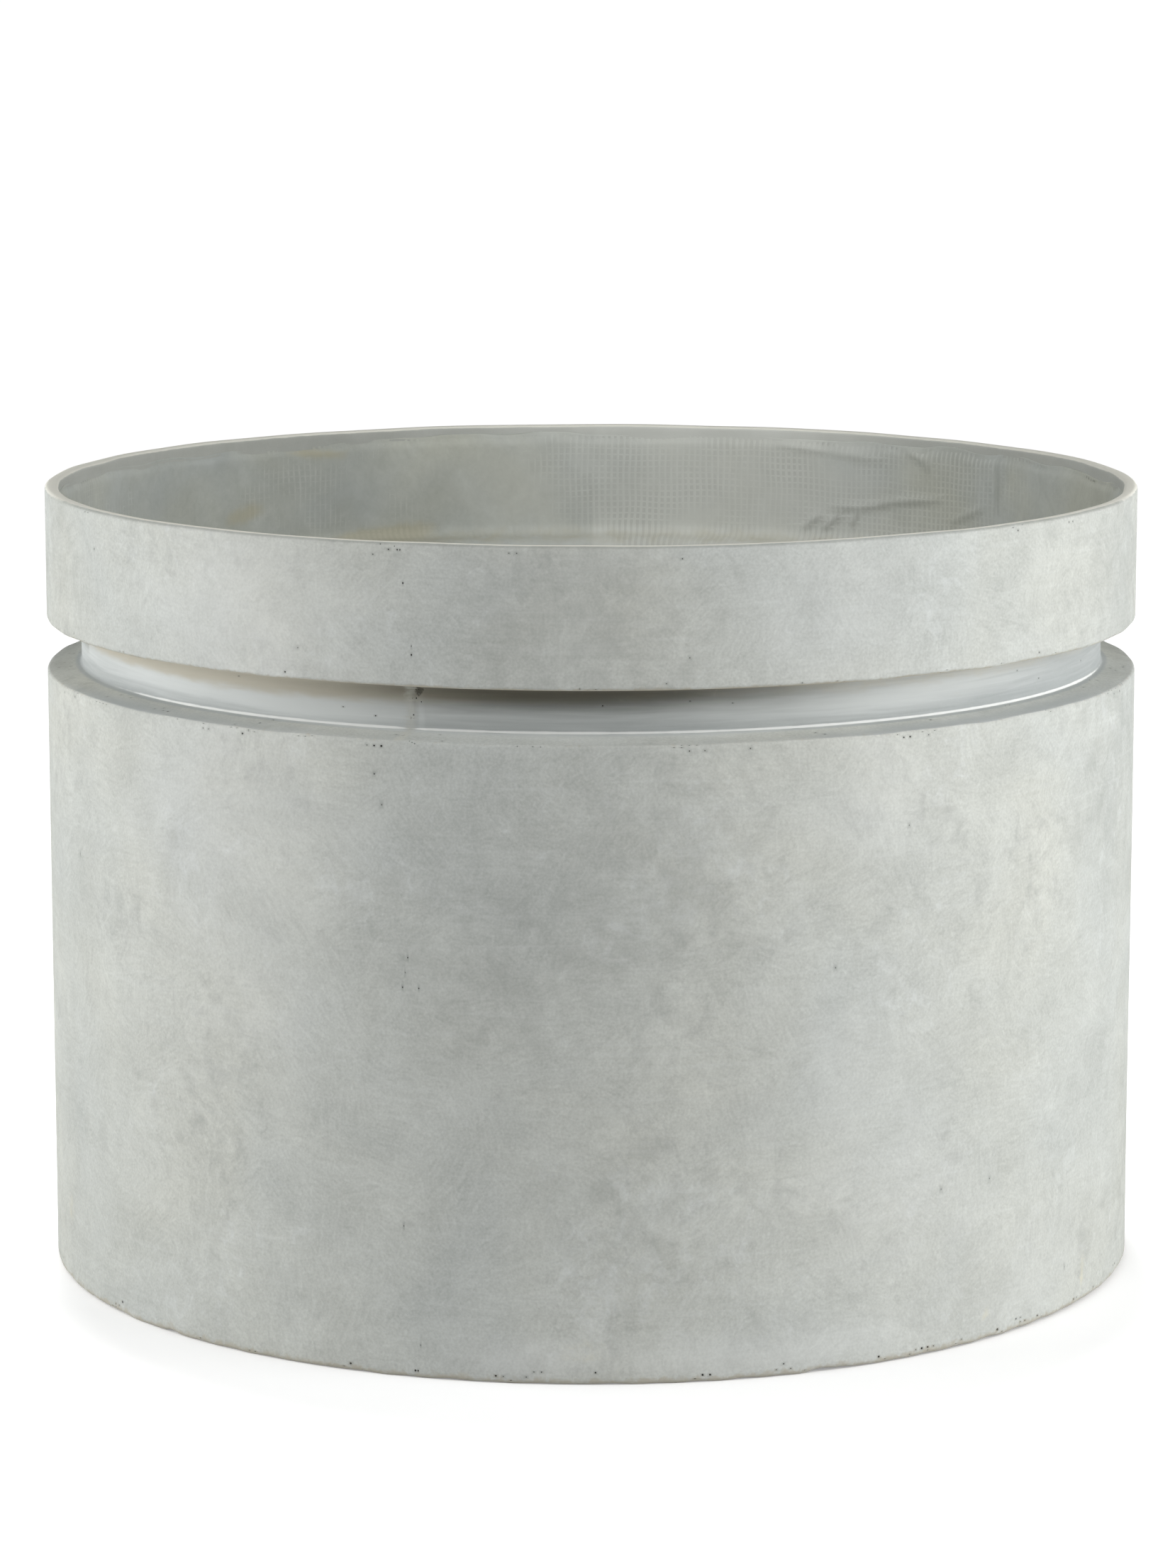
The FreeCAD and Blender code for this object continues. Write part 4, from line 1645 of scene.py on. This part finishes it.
@dataclass
class Strands:
    """One direction of the glass mesh, where it prints through the slurry.

    Attributes:
        name: name of the piece.
        path: points of one strand in metres, standing off the lining.
        across: unit vector across the strand.
        closed: whether the strand runs in a ring.
        count: number of strands.
        step: from one strand to the next, in metres.
        turn: from one strand to the next, in radians.
        width: width of a strand in metres.
        crest: how far its crest is rubbed clear, from 0 to 1.
        proud: how far a clear strand stands out, in metres.
        sunk: how far its edges lie in the slurry, in metres.
        reach: how far from the lining a strand may start, in metres.
        drift: how far the strands stray, in metres.
        drift_width: width in metres of the areas that stray one way.
        least: how much the mesh must show for a strand to be kept, from 0 to 1.
    """

    name: str
    path: np.ndarray
    across: Triple
    closed: bool
    count: int
    step: Triple = (0.0, 0.0, 0.0)
    turn: float = 0.0
    width: float = 2.3 * MM
    crest: float = 1.0
    proud: float = 0.22 * MM
    sunk: float = 0.04 * MM
    reach: float = 6 * MM
    drift: float = 4 * MM
    drift_width: float = 35 * MM
    least: float = 0.06

    def strand(self) -> bpy.types.Mesh:
        """Mesh of one strand: a strip of three lines of points, with its crest marked."""
        offsets = np.array((-0.5, 0.0, 0.5)) * self.width
        points = self.path[:, np.newaxis, :] + offsets[np.newaxis, :, np.newaxis] * np.array(self.across)
        number = np.arange(points.shape[0] * 3).reshape(-1, 3)
        after = np.roll(number, -1, axis=0)
        faces = np.stack((number[:, :-1], number[:, 1:], after[:, 1:], after[:, :-1]), axis=-1)
        faces = faces if self.closed else faces[:-1]
        mesh = bpy.data.meshes.new(self.name + "_strand")
        mesh.from_pydata(points.reshape(-1, 3), [], faces.reshape(-1, 4))
        set_attributes(mesh, {"crest": np.tile((0.0, self.crest, 0.0), len(self.path))})
        return mesh

    def build(self, tree: bpy.types.GeometryNodeTree, lining: bpy.types.Object,
              material: bpy.types.Material) -> bpy.types.Object:
        """Lay the strands on a lining.

        Args:
            tree: the node group that lays them.
            lining: the piece that they lie on.
            material: of the strands.

        Returns:
            The finished piece.
        """
        holder = add_object(self.name + "_strand", self.strand())
        layer = holder.modifiers.new("scrim", "NODES")
        layer.node_group = tree
        values = {"Lining": lining, "Count": self.count, "Step": self.step, "Turn": self.turn,
                  "Proud": self.proud, "Sunk": self.sunk, "Reach": self.reach, "Drift": self.drift,
                  "Drift Scale": 1 / self.drift_width, "Least Print": self.least, "Material": material}
        for item in tree.interface.items_tree:
            if item.in_out == "INPUT" and item.name in values:
                layer[item.identifier] = values[item.name]
        made = holder.evaluated_get(bpy.context.evaluated_depsgraph_get())
        mesh = bpy.data.meshes.new_from_object(made)
        mesh.name = self.name
        holder.modifiers.remove(layer)
        bpy.data.objects.remove(holder)
        return new_piece(mesh, Body.POT)


@dataclass
class Scrim:
    """The glass mesh of both linings, strand by strand.

    Attributes:
        sizes: sizes of the pot.
        wall: the wall lining's description.
        pitch: of the mesh in millimetres.
        stand_off: where a strand starts before it is pressed on, in millimetres.
        rings: points in a strand that runs round the wall.
        weft_width: width of those strands in millimetres.
        edge_margin: from the lining's edge down to the highest of them, in millimetres.
        rim_crest: how far they are rubbed clear in the rim, from 0 to 1.
        low_crest: how far in the neck and the drum.
        floor_crest: how far the floor's second direction is.
    """

    sizes: PotSizes
    wall: WallLining
    pitch: float = 4.0
    stand_off: float = 2.5
    rings: int = 320
    weft_width: float = 1.6
    edge_margin: float = 6.0
    rim_crest: float = 0.55
    low_crest: float = 0.2
    floor_crest: float = 0.5

    def ring(self, radius: float, height: float) -> np.ndarray:
        """Points round the wall in metres."""
        angle = np.arange(self.rings) / self.rings * FULL_TURN
        return np.stack((radius * np.sin(angle), -radius * np.cos(angle), height + 0 * angle), axis=1) * MM

    def build(self, wall: bpy.types.Object, floor: bpy.types.Object) -> None:
        """Lay all the strands.

        Args:
            wall: the wall lining's piece.
            floor: the floor lining's piece.
        """
        s = self.sizes
        tree, material = scrim_tree(), SCRIM_STRAND.material()
        section = self.wall.section(self.stand_off)
        upright = np.stack((section[:, 0] * 0, -section[:, 0], section[:, 1]), axis=1) * MM
        round_wall = round(FULL_TURN * s.inner / self.pitch)
        warp = Strands("wall_warp", upright, (1, 0, 0), False, round_wall, turn=FULL_TURN / round_wall)
        laid = [(warp, wall)]
        pitch, width = self.pitch * MM, self.weft_width * MM
        rim_foot, drum_end = s.rim_bottom + 2 * s.inner_round, s.drum_top - 2 * s.inner_round
        for name, radius, low, high, crest in (
                ("rim_weft", s.inner, rim_foot, s.lining_top - self.edge_margin, self.rim_crest),
                ("neck_weft", s.neck_inner, s.neck_bottom, s.neck_top, self.low_crest),
                ("drum_weft", s.inner, s.floor + 2 * s.floor_round, drum_end, self.low_crest)):
            path = self.ring(radius - s.mesh - self.stand_off, low)
            weft = Strands(name, path, (0, 0, -1), True, int((high - low) / self.pitch),
                           step=(0, 0, pitch), width=width, crest=crest)
            laid.append((weft, wall))
        reach = np.arange(-s.disc_reach, s.disc_reach, 2 * self.pitch) * MM
        edge = np.full_like(reach, -s.disc_reach * MM)
        lift = np.full_like(reach, (s.floor + 2 * s.mesh + self.stand_off) * MM)
        over_floor = round(2 * s.disc_reach / self.pitch)
        for name, path, across, step, crest in (
                ("floor_warp", (edge, reach, lift), (-1, 0, 0), (pitch, 0, 0), 1.0),
                ("floor_weft", (reach, edge, lift), (0, 1, 0), (0, pitch, 0), self.floor_crest)):
            strands = Strands(name, np.stack(path, axis=1), across, False, over_floor, step=step, crest=crest)
            laid.append((strands, floor))
        for strands, lining in laid:
            strands.build(tree, lining, material)


@dataclass
class DrainPlug:
    """Rubber bung: hollow stem, flange, waist and fluted knob.

    Attributes:
        seat: height of the floor lining that the flange rests on, in millimetres.
        columns: points round the plug.
        flutes: grip flutes round the knob.
        flute_depth: their depth in millimetres.
        flute_run: how far above the knob's foot they are full, in millimetres.
        flute_grip: how far in from the knob's side they reach, in millimetres.
        core: radius of the hollow in the stem, in millimetres like all that follow.
        core_depth: depth of that hollow.
        stem_foot: radius of the stem at its foot.
        stem_top: radius of the stem under the flange.
        stem_length: length of the stem.
        flange: radius of the flange.
        flange_thickness: of the flange.
        waist: radius of the waist between the flange and the knob.
        waist_height: of the waist.
        knob: radius of the knob.
        knob_height: of the knob.
        edge_round: rounding of most edges.
        knob_round: rounding of the knob's top.
    """

    seat: float
    columns: int = 144
    flutes: int = 24
    flute_depth: float = 0.45
    flute_run: float = 2.0
    flute_grip: float = 3.0
    core: float = 8.0
    core_depth: float = 9.0
    stem_foot: float = 13.5
    stem_top: float = 14.7
    stem_length: float = 12.0
    flange: float = 26.0
    flange_thickness: float = 4.0
    waist: float = 8.5
    waist_height: float = 9.0
    knob: float = 14.0
    knob_height: float = 8.0
    edge_round: float = 1.5
    knob_round: float = 3.0

    def outline(self) -> np.ndarray:
        """Closed outline of the plug, from the middle of its hollow to the middle of its knob."""
        plain, close, knurled, hidden = 4.0, 3.0, 1.5, 40.0
        foot = self.seat - self.stem_length
        flange_top = self.seat + self.flange_thickness
        knob_foot = flange_top + self.waist_height
        top = knob_foot + self.knob_height
        return trace([
            Corner(0, foot + self.core_depth, plain),
            Corner(self.core, foot + self.core_depth, plain, self.edge_round),
            Corner(self.core, foot, plain),
            Corner(self.stem_foot, foot, plain, self.edge_round),
            Corner(self.stem_top, self.seat, plain),
            Corner(self.flange, self.seat, plain),
            Corner(self.flange, flange_top, plain, self.edge_round),
            Corner(self.waist, flange_top, close, self.edge_round),
            Corner(self.waist, knob_foot, plain, self.edge_round),
            Corner(self.knob, knob_foot, knurled, self.edge_round),
            Corner(self.knob, top, close, self.knob_round),
            Corner(0, top, hidden),
        ])

    def build(self) -> bpy.types.Object:
        """Build the plug and stand it for its node.

        Returns:
            The finished piece.
        """
        line = self.outline()
        azimuth = np.arange(self.columns) / self.columns * FULL_TURN
        r, z = line[:, :1], line[:, 1:]
        knob_foot = self.seat + self.flange_thickness + self.waist_height
        grip = smooth_step(knob_foot, knob_foot + self.flute_run, z)
        grip = grip * smooth_step(self.knob - self.flute_grip, self.knob, r)
        cut = self.flute_depth * grip * (0.5 - 0.5 * np.cos(self.flutes * azimuth))
        mesh = turned_mesh("drain_bung", r - cut, z + azimuth * 0, azimuth)
        closed = bmesh.new()
        closed.from_mesh(mesh)
        bmesh.ops.remove_doubles(closed, verts=closed.verts, dist=WELD)
        loose = [edge for edge in closed.edges if not edge.link_faces]
        bmesh.ops.delete(closed, geom=loose, context="EDGES")
        closed.to_mesh(mesh)
        closed.free()
        mesh.materials.append(PLUG_RUBBER.material())
        return new_piece(mesh, Body.PLUG, ["drain_plug"])


@dataclass(frozen=True)
class Softbox:
    """A large lamp.

    Attributes:
        name: name of the lamp.
        place: its middle in metres.
        size: width and height in metres.
        watts: its power.
    """

    name: str
    place: Triple
    size: tuple[float, float]
    watts: float


@dataclass
class Studio:
    """Pale floor, white surroundings, soft lamps and the camera at the photograph's angle.

    Attributes:
        sizes: sizes of the pot.
        eye: place of the camera in metres.
        pitch: how far the camera looks down, in degrees.
        focal_pixels: focal length in pixels of the photograph.
        picture: width and height of the photograph in pixels.
        sensor: width of the camera's sensor in millimetres.
        white: sRGB hex value of the surroundings.
        ambient: strength of the even fill.
        backdrop: strength of the white that the eye sees.
        paper: sRGB hex value of the floor.
        floor_reach: radius of the floor in metres.
        floor_sides: sides of its outline.
        shadow_shift: middle of the pot's shadow on the floor, in metres.
        shadow_span: how far from there the shadow starts to fade and where it is gone, in metres.
        shadow_glow: glow of the floor inside the shadow; outside it is 1.
        lamps: the softboxes.
    """

    sizes: PotSizes
    eye: Triple = (-0.0023, -3.164, 0.829)
    pitch: float = 9.756
    focal_pixels: float = 7391.9
    picture: tuple[int, int] = (1657, 2212)
    sensor: float = 36.0
    white: str = "FFFFFF"
    ambient: float = 0.06
    backdrop: float = 1.02
    paper: str = "EBEBEB"
    floor_reach: float = 4.0
    floor_sides: int = 64
    shadow_shift: tuple[float, float] = (0.012, -0.1)
    shadow_span: tuple[float, float] = (0.312, 0.395)
    shadow_glow: float = 0.255
    lamps: tuple[Softbox, ...] = (
        Softbox("left_softbox", (-1.7, -0.25, 0.62), (1.5, 1.6), 27.5),
        Softbox("right_softbox", (1.7, -0.1, 0.6), (1.5, 1.6), 9.4),
        Softbox("right_front_softbox", (1.5, -0.95, 1.15), (1.2, 1.4), 15.1),
        Softbox("right_low_panel", (1.7, -0.4, 0.36), (1.5, 0.7), 7.4),
        Softbox("top_front_softbox", (0.0, -1.8, 2.2), (1.6, 1.2), 19.8),
    )

    def camera(self) -> None:
        """Make the camera that looks from the photograph's place."""
        lens = bpy.data.cameras.new("photo_camera")
        lens.sensor_width = self.sensor
        lens.lens = self.focal_pixels * self.sensor / max(self.picture)
        camera = add_object("photo_camera", lens)
        camera.location = self.eye
        camera.rotation_euler = (math.radians(90 - self.pitch), 0, 0)
        bpy.context.scene.camera = camera

    def light(self) -> None:
        """Hang the softboxes, all aimed at the middle of the pot."""
        aim = Vector((0, 0, self.sizes.height / 2 * MM))
        for box in self.lamps:
            lamp = bpy.data.lights.new(box.name, "AREA")
            lamp.shape = "RECTANGLE"
            lamp.size, lamp.size_y = box.size
            lamp.energy = box.watts
            holder = add_object(box.name, lamp)
            holder.location = box.place
            holder.rotation_euler = (aim - Vector(box.place)).to_track_quat("-Z", "Y").to_euler()

    def shown(self, tree: Tree) -> Socket:
        """Share that is 1 where the camera, a reflection or glass looks at the backdrop.

        Args:
            tree: nodes of the floor or the world.

        Returns:
            The share's socket.
        """
        path = add_node(tree, "ShaderNodeLightPath").outputs
        seen = path["Is Camera Ray"]
        for ray in ("Is Glossy Ray", "Is Transmission Ray"):
            seen = add_node(tree, "ShaderNodeMath", {0: seen, 1: path[ray]}, operation="MAXIMUM").outputs[0]
        return seen

    def surroundings(self) -> None:
        """White to the eye all round, and a weak even fill to the lamps' light."""
        world = bpy.data.worlds.new("white_studio")
        world.use_nodes = True
        tree = world.node_tree
        fill = tree.nodes["Background"]
        fill.inputs["Color"].default_value = linear(self.white)
        fill.inputs["Strength"].default_value = self.ambient
        white = add_node(tree, "ShaderNodeBackground", {
            "Color": linear(self.white), "Strength": self.backdrop})
        both = add_node(tree, "ShaderNodeMixShader", {0: self.shown(tree), 1: fill, 2: white})
        tree.links.new(both.outputs[0], tree.nodes["World Output"].inputs["Surface"])
        bpy.context.scene.world = world

    def floor(self) -> None:
        """White floor that keeps the pot's shadow and melts into the backdrop."""
        sheet = bmesh.new()
        bmesh.ops.create_circle(sheet, cap_ends=True, radius=self.floor_reach, segments=self.floor_sides)
        mesh = bpy.data.meshes.new("studio_floor")
        sheet.to_mesh(mesh)
        sheet.free()
        material = bpy.data.materials.new("white_paper")
        material.use_nodes = True
        tree = material.node_tree
        tree.nodes.remove(tree.nodes["Principled BSDF"])
        place = add_node(tree, "ShaderNodeTexCoord").outputs["Object"]
        far = add_node(tree, "ShaderNodeVectorMath", {0: place, 1: (*self.shadow_shift, 0)},
                       operation="DISTANCE").outputs["Value"]
        glow = add_node(tree, "ShaderNodeMapRange", {
            "Value": far, "From Min": self.shadow_span[0], "From Max": self.shadow_span[1],
            "To Min": self.shadow_glow, "To Max": 1.0}, interpolation_type="SMOOTHSTEP")
        strength = add_node(tree, "ShaderNodeMath", {0: glow, 1: self.shown(tree)}, operation="MULTIPLY")
        paper = add_node(tree, "ShaderNodeBsdfDiffuse", {"Color": linear(self.paper)})
        lit = add_node(tree, "ShaderNodeEmission", {"Strength": strength})
        both = add_node(tree, "ShaderNodeAddShader", {0: paper, 1: lit})
        tree.links.new(both.outputs[0], tree.nodes["Material Output"].inputs["Surface"])
        mesh.materials.append(material)
        add_object("studio_floor", mesh)

    def build(self) -> None:
        """Set up the floor, the surroundings, the lamps and the camera."""
        self.floor()
        self.surroundings()
        self.light()
        self.camera()
        bpy.context.scene.view_settings.view_transform = "Standard"


def main() -> None:
    """Build the pot's pieces in order, then the studio."""
    logging.basicConfig(level=logging.INFO, format="%(name)s %(message)s")
    sizes = PotSizes.from_frame()
    wall = WallLining(sizes)
    CastShell(sizes, wall).build()
    Scrim(sizes, wall).build(wall.build(), FloorLining(sizes).build())
    DrainPlug(sizes.floor + sizes.mesh).build()
    Studio(sizes).build()


if __name__ == "__main__":
    main()
